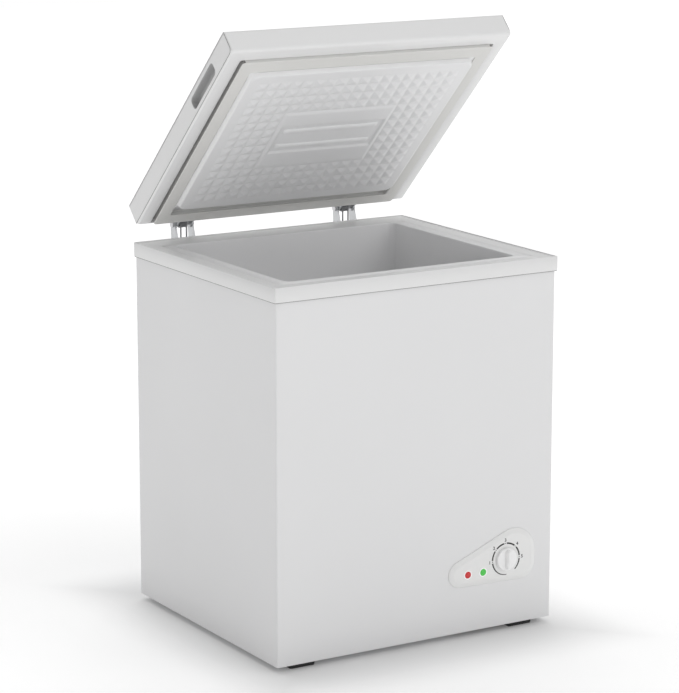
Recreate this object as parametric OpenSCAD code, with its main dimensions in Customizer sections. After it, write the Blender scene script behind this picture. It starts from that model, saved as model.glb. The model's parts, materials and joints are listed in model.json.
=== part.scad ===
// Compact chest freezer with its lid open: cabinet, cold circuit, controls, hinges and lid.
// Millimetres. +X to the right, +Y to the back, +Z up. The floor is z = 0.
// The origin is the centre of the whole object's footprint on the floor.

/* [Cabinet] */
// Width across the outer side panels
body_w = 622; // [560:1:700]
// Depth from the front panel to the back panel
body_d = 552; // [500:1:620]
// Height from the underside of the base to the top of the rim
body_h = 724; // [660:1:800]
// Height of the feet under the base
foot_h = 12; // [8:1:20]
// Thickness of the outer sheet panels
sheet = 1; // [0.8:0.1:1.5]
// Wall thickness at the front and the sides, from panel to cavity
wall = 55; // [54:1:62]
// Wall thickness at the back
rear_wall = 54; // [52:1:60]
// Height of the cavity floor above the base
floor_t = 50; // [45:1:60]

/* [Rim] */
// Overhang of the rim beyond the panels
rim_lip = 4; // [3:0.5:6]
// Height of the rim band
rim_h = 28; // [24:1:34]
// Width of the border at the front and the sides
border_w = 34; // [30:1:36]
// Width of the border at the back
rear_border_w = 52; // [48:1:54]
// Height of the rim's outer lip above its border
lip_h = 2.5; // [1.5:0.5:4]

/* [Compressor compartment] */
// Width of the compartment at the right of the cabinet
comp_w = 216; // [205:1:225]
// Height of the compartment
comp_h = 238; // [230:1:250]

/* [Lid] */
// Angle between the lid and the rim in the modelled pose
lid_open = 44; // [30:1:60]
// Height of the lid's side faces
lid_h = 48; // [44:1:56]
// Gap between the rim's lip and the closed lid
lid_gap = 4.5; // [3:0.5:6]
// How far the lid's sides stand in from the rim's sides
lid_side_inset = 4; // [2:0.5:6]
// How far the lid's front edge stands back from the rim's front
lid_front_inset = 8; // [4:1:10]
// How far the lid's rear edge stands in from the rim's rear
lid_rear_inset = 6; // [4:1:10]
// Width of the flange round the lid's underside
flange_w = 29; // [26:1:30]
// How far the inner panel hangs below the gasket's face
plug_drop = 8; // [6:1:26]

/* [Hinges] */
// Distance of each hinge from the middle
hinge_x = 190; // [150:5:230]
// Distance of the hinge axis behind the rim
pivot_back = 30; // [28:1:36]
// Height of the hinge axis above the closed lid's underside
pivot_up = 17.5; // [14:0.5:22]

/* [Controls] */
// Distance of the knob's axis from the middle
knob_x = 201; // [195:1:210]
// Height of the knob's axis above the base
knob_up = 135; // [125:1:145]
// Radius of the knob
knob_r = 23; // [20:0.5:25]
// Depth of the knob with its grip
knob_h = 14; // [12:0.5:18]
// Thickness of the control panel
bezel_t = 5; // [4:0.5:6]

/* [Hidden] */
$fn = 48;
slack = 0.3;

// Footprint: the knob reaches furthest forwards and the hinge knuckles furthest back
knuckle_r = 9;
knob_gap = 0.4;
rim_d = body_d + 2 * rim_lip;
front_reach = body_d / 2 + bezel_t + knob_gap + knob_h;
rear_reach = rim_d / 2 + pivot_back + knuckle_r;
mid_y = (front_reach - rear_reach) / 2;

// Cabinet faces
side_x = body_w / 2;
front_y = mid_y - body_d / 2;
rear_y = mid_y + body_d / 2;
base_z = foot_h;
rim_top = base_z + body_h;
rim_bottom = rim_top - rim_h;
panel_top = rim_bottom + 10;

// Cavity faces
cav_x = side_x - wall;
cav_front = front_y + wall;
cav_rear = rear_y - rear_wall;
cav_floor = base_z + floor_t;
border_z = rim_top - lip_h;
lip_w = 3;
rim_plate = 2;
liner_t = 1;
seal_z = border_z - 0.4;
foam_top = border_z - rim_plate;

// Compressor compartment and the step that it makes in the cavity
comp_x = side_x - comp_w;
comp_top = base_z + comp_h;
step_x = comp_x - 41;
step_z = comp_top + 44;
base_t = 2;
pan_t = 1.2;

// Rim border
rim_x = side_x + rim_lip;
rim_front = front_y - rim_lip;
rim_rear = rear_y + rim_lip;
border_x = rim_x - border_w;
border_front = rim_front + border_w;
border_rear = rim_rear - rear_border_w;

// Lid, all in its closed place
lid_x = rim_x - lid_side_inset;
lid_front = rim_front + lid_front_inset;
lid_rear = rim_rear - lid_rear_inset;
lid_bottom = rim_top + lid_gap;
lid_top = lid_bottom + lid_h;
lid_skin = 1.2;
frame_t = 3.6;
frame_seam = 0.4;
panel_z = lid_bottom + 6;
panel_t = 1.5;
gasket_w = 27.5;
groove_w = 3.5;
rear_flange_w = 4;
gasket_x = lid_x - flange_w - groove_w;
gasket_front = lid_front + flange_w + groove_w;
gasket_rear = lid_rear - rear_flange_w - 1.5;
gasket_z = border_z + slack;
plug_x = gasket_x - gasket_w - 0.5;
plug_front = gasket_front + gasket_w + 0.5;
plug_rear = cav_rear - 6;
plug_z = gasket_z - plug_drop;
raised_in = 118;
raised_h = 1.5;
rib_gap = 26;

// Handle recesses in the lid's side faces
cup_from = 74;
cup_len = 117;
cup_high = 26;
cup_under_top = 11;
cup_deep = 18;
cup_r = 9;
cup_t = 1.5;
cup_y = lid_front + cup_from + cup_len / 2;
cup_z = lid_top - cup_under_top - cup_high / 2;

// Hinges
pivot_y = rim_rear + pivot_back;
pivot_z = lid_bottom + pivot_up;
pin_r = 4;
pin_fit = 0.05;
ear_t = 3;
leaf_ear_in = 14.5;
bracket_ear_in = leaf_ear_in + ear_t + 0.5;
leaf_t = 3;
bracket_low = rim_bottom - 62;
bracket_top = rim_bottom - 2;
shelf_z = rim_bottom - 8;
screw_r = 2;
screw_len = 10;
head_r = 4.5;
head_h = 2.4;
bracket_screws = [[-26, bracket_low + 8], [26, bracket_low + 8], [0, bracket_low + 34]];
leaf_screws = [[-24, lid_bottom + 16], [24, lid_bottom + 16], [-24, lid_bottom + 38],
    [24, lid_bottom + 38]];
leaf_half = 32;
spring_r = 7;
wire_r = 1.5;
spring_turns = 5;
spring_pitch = 3.2;

// Compressor
shell_r = 72;
shell_t = 3;
shell_x = comp_x + 108;
shell_y = rear_y - 150;
plate_z = base_z + 18;
plate_t = 3;
shell_z = plate_z + plate_t;
seam_z = shell_z + 72;
dome_z = shell_z + 142;
dome_arc = 40;
bolt_x = 78;
bolt_y = 56;
bolt_r = 4;
grommet_r = 11;

// Tubes: centre lines and radii
evap_r = 3.5;
cond_r = 2.5;
line_r = 3;
cap_r = 1.2;
evap_gap = 2.2;
evap_bend = 10;
cond_bend = 12;
suction_bend = 6;
evap_off = liner_t + evap_r + evap_gap;
evap_back = cav_rear + evap_off;
cond_off = sheet + cond_r + slack;
cond_side = side_x - cond_off;
cond_front = front_y + cond_off;
evap_levels = [110, 180, 250, 340, 420, 500, 580, 660];
cond_levels = [310, 410, 510, 610];
turn_x = 20;
inlet_y = rear_y - 60;
outlet_y = rear_y - 24;
low_end = base_z + 190;
suction_x = comp_x + 56;
suction_y = evap_back + 14;
roof_end = side_x - 10;

evap_path = [for (i = [0 : len(evap_levels) - 1]) each evap_turn(evap_levels[i], i % 2 == 0)];
cond_path = [
    [cond_side, inlet_y, low_end],
    for (i = [0 : len(cond_levels) - 1]) each cond_turn(i),
    [cond_side, outlet_y, low_end]
];
suction_path = [
    [turn_x, evap_back + evap_r + slack, evap_levels[7]],
    [turn_x, suction_y, evap_levels[7]],
    [suction_x, suction_y, evap_levels[7]],
    [suction_x, suction_y, base_z + 120],
    [suction_x, shell_y, base_z + 120]
];
discharge_path = [
    [shell_x, shell_y, base_z + 90],
    [shell_x + 90, shell_y, base_z + 90],
    [shell_x + 90, inlet_y, base_z + 90],
    [cond_side, inlet_y, base_z + 90],
    [cond_side, inlet_y, low_end]
];
drier_z = base_z + 150;
drier_x = [comp_x + 50, comp_x + 134];
drier_r = 9;
liquid_path = [
    [cond_side, outlet_y, low_end],
    [cond_side, outlet_y, drier_z],
    [drier_x[1], outlet_y, drier_z]
];
capillary_path = [
    [drier_x[0], outlet_y, drier_z],
    [comp_x + 30, outlet_y, drier_z],
    [comp_x + 30, outlet_y, comp_top + 30],
    [step_x + 6, outlet_y, comp_top + 30],
    [step_x + 6, outlet_y, evap_levels[0]],
    [turn_x, outlet_y, evap_levels[0]],
    [turn_x, evap_back + evap_r + slack, evap_levels[0]]
];

// Controls
knob_z = base_z + knob_up;
bush_r = 5;
shaft_r = 3;
shaft_fit = 0.05;
bezel_y = front_y - bezel_t;
lamp_r = 6.8;
lamp_z = base_z + 116;
power_x = knob_x - 88.5;
run_x = knob_x - 53;
bezel_small = [knob_x - 105, base_z + 118, 26];
bezel_top = [knob_x + 20, base_z + 144, 50];
bezel_low = [knob_x + 37, base_z + 122, 33];
bezel_edge = 4;

// Drain
drain_x = -190;
drain_y = cav_rear - 90;
drain_r = 10;
drain_t = 1.5;
drain_z = base_z + 22;

// Feet
foot_w = 57;
foot_d = 46;
foot_in = 34;
foot_back = 11;

// Vents
grille_x = [comp_x + 8, side_x - 14];
grille_z = [base_z + 8, comp_top - 8];
vent_y = [rear_y - 250, rear_y - 90];
vent_z = [base_z + 50, base_z + 160];
gland_x = comp_x + 34;
gland_z = base_z + 40;
gland_r = 4;

// ---- Paths ----

// One turn of the evaporator round the tub at height z, from one side of the back to the other
function evap_turn(z, forwards) =
    let (right = z < step_z ? step_x + evap_off : cav_x + evap_off,
        left = -cav_x - evap_off,
        front = cav_front - evap_off,
        turn = [[turn_x, evap_back, z], [right, evap_back, z], [right, front, z],
            [left, front, z], [left, evap_back, z], [-turn_x, evap_back, z]])
    forwards ? turn : [for (i = [5 : -1 : 0]) turn[i]];

// One pass of the condenser across the right side, the front and the left side
function cond_turn(i) =
    let (z = cond_levels[i],
        right_end = i == 3 ? outlet_y : inlet_y,
        pass = [[cond_side, right_end, z], [cond_side, cond_front, z],
            [-cond_side, cond_front, z], [-cond_side, outlet_y, z]])
    i % 2 == 0 ? pass : [for (k = [3 : -1 : 0]) pass[k]];

// ---- Helpers ----

module block(x, y, z) {
    translate([x[0], y[0], z[0]])
        cube([x[1] - x[0], y[1] - y[0], z[1] - z[0]]);
}

// A straight round bar from p to q, both on one line along X, Y or Z
module rod(p, q, r) {
    d = (q - p) / norm(q - p);
    translate(p)
        rotate([0, acos(d[2]), atan2(d[1], d[0])])
            cylinder(h = norm(q - p), r = r, $fn = 24);
}

// A quarter bend at corner p, coming in along a and leaving along b
module elbow(p, a, b, r, bend) {
    c = cross(a, b);
    m = p - a * bend + b * bend;
    multmatrix([[-b[0], a[0], c[0], m[0]], [-b[1], a[1], c[1], m[1]],
            [-b[2], a[2], c[2], m[2]], [0, 0, 0, 1]])
        rotate_extrude(angle = 90, $fn = 48)
            translate([bend, 0])
                circle(r = r, $fn = 24);
}

// A bent tube through points joined by lines along X, Y and Z
module pipe(points, r, bend) {
    n = len(points);
    for (i = [0 : n - 2]) {
        d = (points[i + 1] - points[i]) / norm(points[i + 1] - points[i]);
        rod(points[i] + d * (i == 0 ? 0 : bend), points[i + 1] - d * (i == n - 2 ? 0 : bend), r);
    }
    for (i = [1 : n - 2])
        elbow(points[i], (points[i] - points[i - 1]) / norm(points[i] - points[i - 1]),
            (points[i + 1] - points[i]) / norm(points[i + 1] - points[i]), r, bend);
}

// The block that holds points a and b with w to spare on every side
module span(a, b, w) {
    block([min(a[0], b[0]) - w, max(a[0], b[0]) + w], [min(a[1], b[1]) - w, max(a[1], b[1]) + w],
        [min(a[2], b[2]) - w, max(a[2], b[2]) + w]);
}

// The square channel that such a tube needs in the insulation, with room for its bends
module channel(points, r, bend) {
    for (i = [0 : len(points) - 2])
        span(points[i], points[i + 1], r + slack);
    for (i = [1 : len(points) - 2])
        if (bend > 0)
            span(points[i] - bend * (points[i] - points[i - 1]) / norm(points[i] - points[i - 1]),
                points[i] + bend * (points[i + 1] - points[i]) / norm(points[i + 1] - points[i]),
                r + slack);
}

// Children turned about the hinge axis from the closed lid's place to the open one
module opened() {
    translate([0, pivot_y, pivot_z])
        rotate([-lid_open, 0, 0])
            translate([0, -pivot_y, -pivot_z])
                children();
}

// A cylinder along +Y from y
module post(x, y, z, r, h) {
    translate([x, y, z])
        rotate([-90, 0, 0])
            cylinder(h = h, r = r);
}

// A cylinder along +X from x
module pin(x, y, z, r, h) {
    translate([x, y, z])
        rotate([0, 90, 0])
            cylinder(h = h, r = r);
}

// The cavity's space, grown by g on every side
module cavity(g, top) {
    block([-cav_x - g, step_x + g], [cav_front - g, cav_rear + g], [cav_floor - g, top]);
    block([-cav_x - g, cav_x + g], [cav_front - g, cav_rear + g], [step_z - g, top]);
}

// ---- Cabinet skins ----

module front_panel() {
    color("gainsboro")
        difference() {
            block([-side_x, side_x], [front_y, front_y + sheet], [base_z, panel_top]);
            post(knob_x, front_y - 1, knob_z, bush_r + 0.2, 4);
            for (x = [power_x, run_x])
                post(x, front_y - 1, lamp_z, lamp_r + 0.4, 4);
        }
}

module left_side_panel() {
    color("lightgray")
        block([-side_x, -side_x + sheet], [front_y + sheet, rear_y - sheet], [base_z, panel_top]);
}

module right_side_panel() {
    color("lightgray")
        difference() {
            block([side_x - sheet, side_x], [front_y + sheet, rear_y - sheet], [base_z, panel_top]);
            block([side_x - 2, side_x + 1], vent_y, vent_z);
        }
}

module back_panel() {
    color("silver")
        difference() {
            block([-side_x, side_x], [rear_y - sheet, rear_y], [base_z, panel_top]);
            block([grille_x[0] + 8, grille_x[1] - 8], [rear_y - 2, rear_y + 1],
                [grille_z[0] + 8, grille_z[1] - 8]);
            post(drain_x, rear_y - 2, drain_z, drain_r + drain_t + slack, 4);
            grille_screw_holes();
            bracket_screw_holes();
        }
}

module base_pan() {
    color("darkgray")
        difference() {
            block([-side_x + sheet, comp_x], [front_y + sheet, rear_y - sheet],
                [base_z, base_z + pan_t]);
            foot_screw_holes();
        }
}

module compressor_base_plate() {
    color("dimgray")
        difference() {
            block([comp_x + sheet, side_x - sheet], [front_y + sheet, rear_y - sheet],
                [base_z, base_z + base_t]);
            foot_screw_holes();
            at_bolts()
                translate([0, 0, base_z - 1])
                    cylinder(h = 4, r = bolt_r + 0.2);
            for (i = [0 : 5])
                block([shell_x - 40, shell_x + 40], [front_y + 150 + 14 * i, front_y + 156 + 14 * i],
                    [base_z - 1, base_z + 4]);
        }
}

module compartment_bulkhead() {
    color("darkgray")
        difference() {
            union() {
                block([comp_x, comp_x + sheet], [front_y + sheet, rear_y - sheet],
                    [base_z, comp_top]);
                block([comp_x, roof_end], [front_y + sheet, rear_y - sheet],
                    [comp_top, comp_top + sheet]);
            }
            translate([suction_x, suction_y, comp_top - 1])
                cylinder(h = 4, r = line_r + slack);
            translate([comp_x + 30, outlet_y, comp_top - 1])
                cylinder(h = 4, r = cap_r + slack);
        }
}

module cabinet_insulation() {
    color("khaki")
        difference() {
            block([-side_x + sheet, side_x - sheet], [front_y + sheet, rear_y - sheet],
                [base_z + pan_t, foam_top]);
            cavity(liner_t, rim_top);
            block([comp_x, side_x], [front_y, rear_y], [base_z, comp_top + sheet]);
            channel(evap_path, evap_r, evap_bend);
            channel(cond_path, cond_r, cond_bend);
            channel(suction_path, line_r, suction_bend);
            channel(capillary_path, cap_r, suction_bend);
            channel([[drain_x, drain_y, cav_floor], [drain_x, drain_y, drain_z],
                [drain_x, rear_y, drain_z]], drain_r + drain_t, 0);
            bracket_screw_holes();
            foot_screw_holes();
        }
}

module inner_liner() {
    color("whitesmoke")
        difference() {
            union() {
                cavity(liner_t, foam_top);
                block([-border_x, border_x], [border_front, border_rear], [foam_top, seal_z]);
            }
            cavity(0, rim_top);
            translate([drain_x, drain_y, cav_floor - 3])
                cylinder(h = 6, r = drain_r + drain_t);
        }
}

module rim_frame() {
    color("white")
        difference() {
            block([-rim_x, rim_x], [rim_front, rim_rear], [rim_bottom, rim_top]);
            block([-side_x - slack, side_x + slack], [front_y - slack, rear_y + slack],
                [rim_bottom - 1, foam_top]);
            block([-rim_x + lip_w, rim_x - lip_w], [rim_front + lip_w, rim_rear - lip_w],
                [border_z, rim_top + 1]);
            block([-border_x - 0.1, border_x + 0.1], [border_front - 0.1, border_rear + 0.1],
                [rim_bottom, rim_top + 1]);
        }
}

// ---- Cold circuit ----

module evaporator_coil() {
    color("silver")
        pipe(evap_path, evap_r, evap_bend);
}

module condenser_coil() {
    color("dimgray")
        pipe(cond_path, cond_r, cond_bend);
}

module suction_line() {
    color("peru")
        difference() {
            pipe(suction_path, line_r, suction_bend);
            shell_space();
        }
}

module discharge_line() {
    color("peru")
        difference() {
            pipe(discharge_path, cond_r, 6);
            shell_space();
        }
}

module liquid_line() {
    color("peru")
        pipe(liquid_path, cond_r, 10);
}

module capillary_tube() {
    color("peru")
        pipe(capillary_path, cap_r, suction_bend);
}

module filter_drier() {
    color("peru")
        translate([drier_x[0], outlet_y, drier_z])
            rotate([0, 90, 0])
                rotate_extrude()
                    polygon([[0, 0], [3, 0], [drier_r, 12], [drier_r, drier_x[1] - drier_x[0] - 12],
                        [3, drier_x[1] - drier_x[0]], [0, drier_x[1] - drier_x[0]]]);
}

// The round space of the compressor's straight wall, which the tubes stop at
module shell_space() {
    translate([shell_x, shell_y, shell_z])
        cylinder(h = dome_z - dome_arc - shell_z, r = shell_r + 0.1);
}

module at_bolts() {
    for (x = [-bolt_x, bolt_x], y = [-bolt_y, bolt_y])
        translate([shell_x + x, shell_y + y, 0])
            children();
}

// Half section of one pressed half of the shell, with outer radius r and rim at height h
module shell_half(h, arc) {
    rotate_extrude()
        difference() {
            union() {
                square([shell_r - arc, h]);
                translate([0, arc])
                    square([shell_r, h - arc]);
                translate([shell_r - arc, arc])
                    circle(r = arc);
            }
            translate([0, shell_t])
                square([shell_r - arc, h]);
            translate([0, arc])
                square([shell_r - shell_t, h]);
            translate([shell_r - arc, arc])
                circle(r = arc - shell_t);
            translate([-2 * shell_r, -1])
                square([2 * shell_r, h + 2]);
        }
}

module compressor_lower_shell() {
    color("black")
        translate([shell_x, shell_y, shell_z])
            shell_half(seam_z - shell_z, 18);
}

module compressor_upper_shell() {
    color("black")
        translate([shell_x, shell_y, dome_z])
            mirror([0, 0, 1])
                shell_half(dome_z - seam_z, dome_arc);
}

module compressor_motor() {
    color("slategray")
        translate([shell_x, shell_y, shell_z + 26]) {
            cylinder(h = 44, r = 52);
            translate([0, 0, 44])
                cylinder(h = 26, r = 34);
            translate([0, 0, 70])
                block([-24, 44], [-20, 20], [0, 24]);
        }
}

module compressor_suspension() {
    color("gray")
        for (a = [45 : 90 : 315])
            translate([shell_x + 40 * cos(a), shell_y + 40 * sin(a), shell_z + shell_t])
                cylinder(h = 26 - shell_t, r = 6);
}

module compressor_foot_plate() {
    color("black")
        difference() {
            block([shell_x - bolt_x - 14, shell_x + bolt_x + 14],
                [shell_y - bolt_y - 14, shell_y + bolt_y + 14], [plate_z, plate_z + plate_t]);
            at_bolts()
                translate([0, 0, plate_z - 1])
                    cylinder(h = 6, r = bolt_r + 0.2);
        }
}

module compressor_grommets() {
    color("darkslategray")
        at_bolts()
            translate([0, 0, base_z + base_t])
                difference() {
                    cylinder(h = plate_z - base_z - base_t, r = grommet_r);
                    translate([0, 0, -1])
                        cylinder(h = 30, r = bolt_r + 0.2);
                }
}

module compressor_bolts() {
    color("silver")
        at_bolts() {
            translate([0, 0, base_z - 4])
                cylinder(h = 4, r = 7);
            translate([0, 0, base_z - 2])
                cylinder(h = plate_z + plate_t + 8 - base_z + 2, r = bolt_r);
            translate([0, 0, plate_z + plate_t])
                cylinder(h = 5, r = 7.5);
        }
}

module terminal_cover() {
    color("dimgray")
        difference() {
            block([shell_x - 30, shell_x + 30], [shell_y - shell_r - 34, shell_y - shell_r + 14],
                [shell_z + 12, shell_z + 64]);
            block([shell_x - 28, shell_x + 28], [shell_y - shell_r - 32, shell_y - shell_r + 20],
                [shell_z + 14, shell_z + 62]);
            shell_space();
        }
}

// ---- Vents and gland ----

module rear_grille() {
    color("darkgray")
        difference() {
            block(grille_x, [rear_y, rear_y + 2], grille_z);
            for (i = [0 : 9])
                block([grille_x[0] + 62, grille_x[1] - 16], [rear_y - 1, rear_y + 3],
                    [grille_z[0] + 24 + 17 * i, grille_z[0] + 30 + 17 * i]);
            post(gland_x, rear_y - 1, gland_z, gland_r + 4, 4);
            grille_screw_holes();
        }
}

module at_grille_screws() {
    for (x = [grille_x[0] + 4, grille_x[1] - 4], z = [grille_z[0] + 4, grille_z[1] - 4])
        translate([x, 0, z])
            children();
}

module grille_screw_holes() {
    at_grille_screws()
        post(0, rear_y - 3, 0, 1.7, 8);
}

module rear_grille_screws() {
    color("silver")
        at_grille_screws() {
            post(0, rear_y - 4, 0, 1.6, 6);
            post(0, rear_y + 2, 0, 3.4, 1.8);
        }
}

module side_vent_grille() {
    color("gainsboro")
        difference() {
            union() {
                block([side_x, side_x + 2.5], [vent_y[0] - 8, vent_y[1] + 8],
                    [vent_z[0] - 8, vent_z[1] + 8]);
                block([side_x - 4, side_x], [vent_y[0] + slack, vent_y[1] - slack],
                    [vent_z[0] + slack, vent_z[1] - slack]);
            }
            for (i = [0 : 8])
                block([side_x - 5, side_x + 3], [vent_y[0] + 10, vent_y[1] - 10],
                    [vent_z[0] + 8 + 11 * i, vent_z[0] + 14 + 11 * i]);
        }
}

module cord_gland() {
    color("black")
        difference() {
            union() {
                post(gland_x, rear_y - 4, gland_z, gland_r + 7, 4);
                post(gland_x, rear_y, gland_z, gland_r + 3.8, 2);
                post(gland_x, rear_y + 2, gland_z, gland_r + 7, 2);
            }
            post(gland_x, rear_y - 5, gland_z, gland_r, 12);
        }
}

// ---- Controls ----

module bezel_round(spot) {
    translate([spot[0], front_y, spot[1]])
        rotate([90, 0, 0]) {
            cylinder(h = bezel_t - 2.5, r = spot[2], $fn = 64);
            cylinder(h = bezel_t, r = spot[2] - bezel_edge, $fn = 64);
        }
}

module control_panel() {
    color("white")
        difference() {
            hull() {
                bezel_round(bezel_small);
                bezel_round(bezel_top);
                bezel_round(bezel_low);
            }
            post(knob_x, bezel_y - 1, knob_z, bush_r + 0.2, bezel_t + 2);
            for (x = [power_x, run_x])
                post(x, bezel_y - 1, lamp_z, lamp_r + 0.2, bezel_t + 2);
        }
}

module thermostat_body() {
    color("lightgray")
        difference() {
            union() {
                block([knob_x - 22, knob_x + 22], [front_y + sheet + 0.5, front_y + 36],
                    [knob_z - 24, knob_z + 24]);
                post(knob_x, front_y - 3, knob_z, bush_r, 6);
            }
            post(knob_x, front_y - 4, knob_z, shaft_r + shaft_fit, 30);
        }
}

module thermostat_shaft() {
    color("silver")
        post(knob_x, bezel_y - knob_gap - 8, knob_z, shaft_r, 8 + knob_gap + bezel_t + 20);
}

module control_knob() {
    color("whitesmoke")
        difference() {
            union() {
                post(knob_x, bezel_y - knob_gap - 5, knob_z, knob_r, 5);
                post(knob_x, bezel_y - knob_gap - 7, knob_z, knob_r - 3, 3);
                block([knob_x - 5, knob_x + 5], [bezel_y - knob_gap - knob_h, bezel_y - knob_gap],
                    [knob_z - knob_r + 4, knob_z + knob_r - 4]);
            }
            post(knob_x, bezel_y - knob_gap - 8, knob_z, shaft_r + 0.02, 10);
        }
}

module lamp_lens(x) {
    post(x, bezel_y - 1, lamp_z, lamp_r, bezel_t + 4);
}

module power_lamp_lens() {
    color("red")
        lamp_lens(power_x);
}

module run_lamp_lens() {
    color("limegreen")
        lamp_lens(run_x);
}

module lamp_holders() {
    color("dimgray")
        for (x = [power_x, run_x])
            block([x - 8, x + 8], [front_y + 3, front_y + 24], [lamp_z - 9, lamp_z + 9]);
}

module control_wiring() {
    color("darkslategray") {
        pipe([[power_x, front_y + 24, lamp_z], [power_x, front_y + 44, lamp_z],
            [run_x, front_y + 44, lamp_z], [run_x, front_y + 24, lamp_z]], 2, 5);
        rod([run_x + 8, front_y + 14, lamp_z], [knob_x - 22, front_y + 14, lamp_z], 2);
        pipe([[knob_x, front_y + 36, knob_z], [knob_x, front_y + 120, knob_z],
            [knob_x, front_y + 120, shell_z + 40], [knob_x, shell_y - shell_r - 34, shell_z + 40]],
            3.5, 12);
    }
}

// ---- Drain ----

module drain_tube() {
    color("white")
        difference() {
            union() {
                translate([drain_x, drain_y, drain_z])
                    cylinder(h = cav_floor - drain_z, r = drain_r + drain_t);
                translate([drain_x, drain_y, drain_z])
                    sphere(r = drain_r + drain_t);
                post(drain_x, drain_y, drain_z, drain_r + drain_t, rear_y - drain_y);
            }
            translate([drain_x, drain_y, drain_z])
                cylinder(h = cav_floor - drain_z + 1, r = drain_r);
            translate([drain_x, drain_y, drain_z])
                sphere(r = drain_r);
            post(drain_x, drain_y, drain_z, drain_r, rear_y - drain_y + 1);
        }
}

module drain_plug() {
    z = cav_floor + slack;
    color("gray") {
        translate([drain_x, drain_y, z])
            cylinder(h = 3, r = drain_r + 4);
        translate([drain_x, drain_y, z - 10])
            cylinder(h = 10, r = drain_r - slack);
        block([drain_x - 1.5, drain_x + 1.5], [drain_y - 6, drain_y + 6], [z + 3, z + 11]);
    }
}

module drain_cap() {
    color("white") {
        post(drain_x, rear_y + slack, drain_z, drain_r + 5, 3);
        post(drain_x, rear_y - 12, drain_z, drain_r - slack, 12 + slack);
    }
}

// ---- Feet ----

module at_feet() {
    for (x = [-1, 1], y = [0, 1])
        translate([x * (side_x - foot_in - foot_w / 2),
                y == 0 ? front_y + foot_back + foot_d / 2 : rear_y - foot_back - foot_d / 2, 0])
            children();
}

module foot_screw_holes() {
    at_feet()
        cylinder(h = base_z + 12, r = screw_r + 0.2);
}

module feet() {
    color("black")
        difference() {
            at_feet()
                block([-foot_w / 2, foot_w / 2], [-foot_d / 2, foot_d / 2], [0, base_z]);
            foot_screw_holes();
            at_feet()
                translate([0, 0, -1])
                    cylinder(h = 6, r = head_r + 1);
        }
}

module foot_screws() {
    color("silver")
        at_feet() {
            translate([0, 0, 5 - head_h])
                cylinder(h = head_h, r = head_r);
            translate([0, 0, 5])
                cylinder(h = base_z + 4, r = screw_r);
        }
}

// ---- Hinges ----

// Both hinges' screw holes, from behind the bracket into the insulation
module bracket_screw_holes() {
    for (side = [-1, 1], s = bracket_screws)
        post(side * hinge_x + s[0], rear_y - screw_len - 1, s[1], screw_r + 0.2, screw_len + 6);
}

module ear(x, points) {
    translate([x, 0, 0])
        rotate([90, 0, 90])
            linear_extrude(height = ear_t) {
                polygon(points);
                translate([pivot_y, pivot_z])
                    circle(r = knuckle_r);
            }
}

module hinge_bracket(side) {
    m = side * hinge_x;
    points = [[rear_y, bracket_low], [rear_y + 22, bracket_low], [pivot_y + 7, pivot_z - 30],
        [pivot_y + knuckle_r, pivot_z], [pivot_y - knuckle_r, pivot_z],
        [rear_y + rim_lip + 2, bracket_top], [rear_y, bracket_top]];
    color("silver")
        difference() {
            union() {
                block([m - 36, m + 36], [rear_y, rear_y + leaf_t], [bracket_low, bracket_top]);
                ear(m - bracket_ear_in - ear_t, points);
                ear(m + bracket_ear_in, points);
                block([m - bracket_ear_in, m + bracket_ear_in], [rear_y, rear_y + 32],
                    [shelf_z - 3, shelf_z]);
            }
            pin(m - 40, pivot_y, pivot_z, pin_r + pin_fit, 80);
            bracket_screw_holes();
        }
}

module hinge_leaf(side) {
    m = side * hinge_x;
    low = lid_bottom + 8;
    points = [[lid_rear, low], [lid_rear, low + 28], [pivot_y, pivot_z + knuckle_r],
        [pivot_y, pivot_z - knuckle_r]];
    color("silver")
        opened()
            difference() {
                union() {
                    block([m - leaf_half, m + leaf_half], [lid_rear, lid_rear + leaf_t],
                        [low, lid_top - 4]);
                    ear(m - leaf_ear_in - ear_t, points);
                    ear(m + leaf_ear_in, points);
                }
                pin(m - 40, pivot_y, pivot_z, pin_r + pin_fit, 80);
                leaf_screw_holes();
            }
}

module hinge_pin(side) {
    m = side * hinge_x;
    end = bracket_ear_in + ear_t;
    color("gray") {
        pin(m - end - 1, pivot_y, pivot_z, pin_r, 2 * end + 2);
        pin(m - end - 3, pivot_y, pivot_z, 6.5, 3);
        pin(m + end, pivot_y, pivot_z, 6.5, 3);
    }
}

// Torsion spring: closed turns round the pin, with both ends standing on the bracket's shelf
module hinge_spring(side) {
    m = side * hinge_x;
    end = (spring_turns - 1) * spring_pitch / 2;
    color("dimgray") {
        for (i = [0 : spring_turns - 1])
            translate([m - end + i * spring_pitch, pivot_y, pivot_z])
                rotate([0, 90, 0])
                    rotate_extrude($fn = 36)
                        translate([spring_r, 0])
                            circle(r = wire_r, $fn = 24);
        for (x = [m - end, m + end])
            rod([x, pivot_y - spring_r, pivot_z], [x, pivot_y - spring_r, shelf_z], wire_r);
    }
}

module hinge_bracket_screws() {
    color("silver")
        for (side = [-1, 1], s = bracket_screws) {
            post(side * hinge_x + s[0], rear_y - screw_len, s[1], screw_r, screw_len + leaf_t);
            post(side * hinge_x + s[0], rear_y + leaf_t, s[1], head_r, head_h);
        }
}

module leaf_screw_holes() {
    for (side = [-1, 1], s = leaf_screws)
        post(side * hinge_x + s[0], lid_rear - screw_len - 1, s[1], screw_r + 0.2, screw_len + 6);
}

module hinge_leaf_screws() {
    color("silver")
        opened()
            for (side = [-1, 1], s = leaf_screws) {
                post(side * hinge_x + s[0], lid_rear - screw_len, s[1], screw_r,
                    screw_len + leaf_t);
                post(side * hinge_x + s[0], lid_rear + leaf_t, s[1], head_r, head_h);
            }
}

// ---- Lid ----

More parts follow.
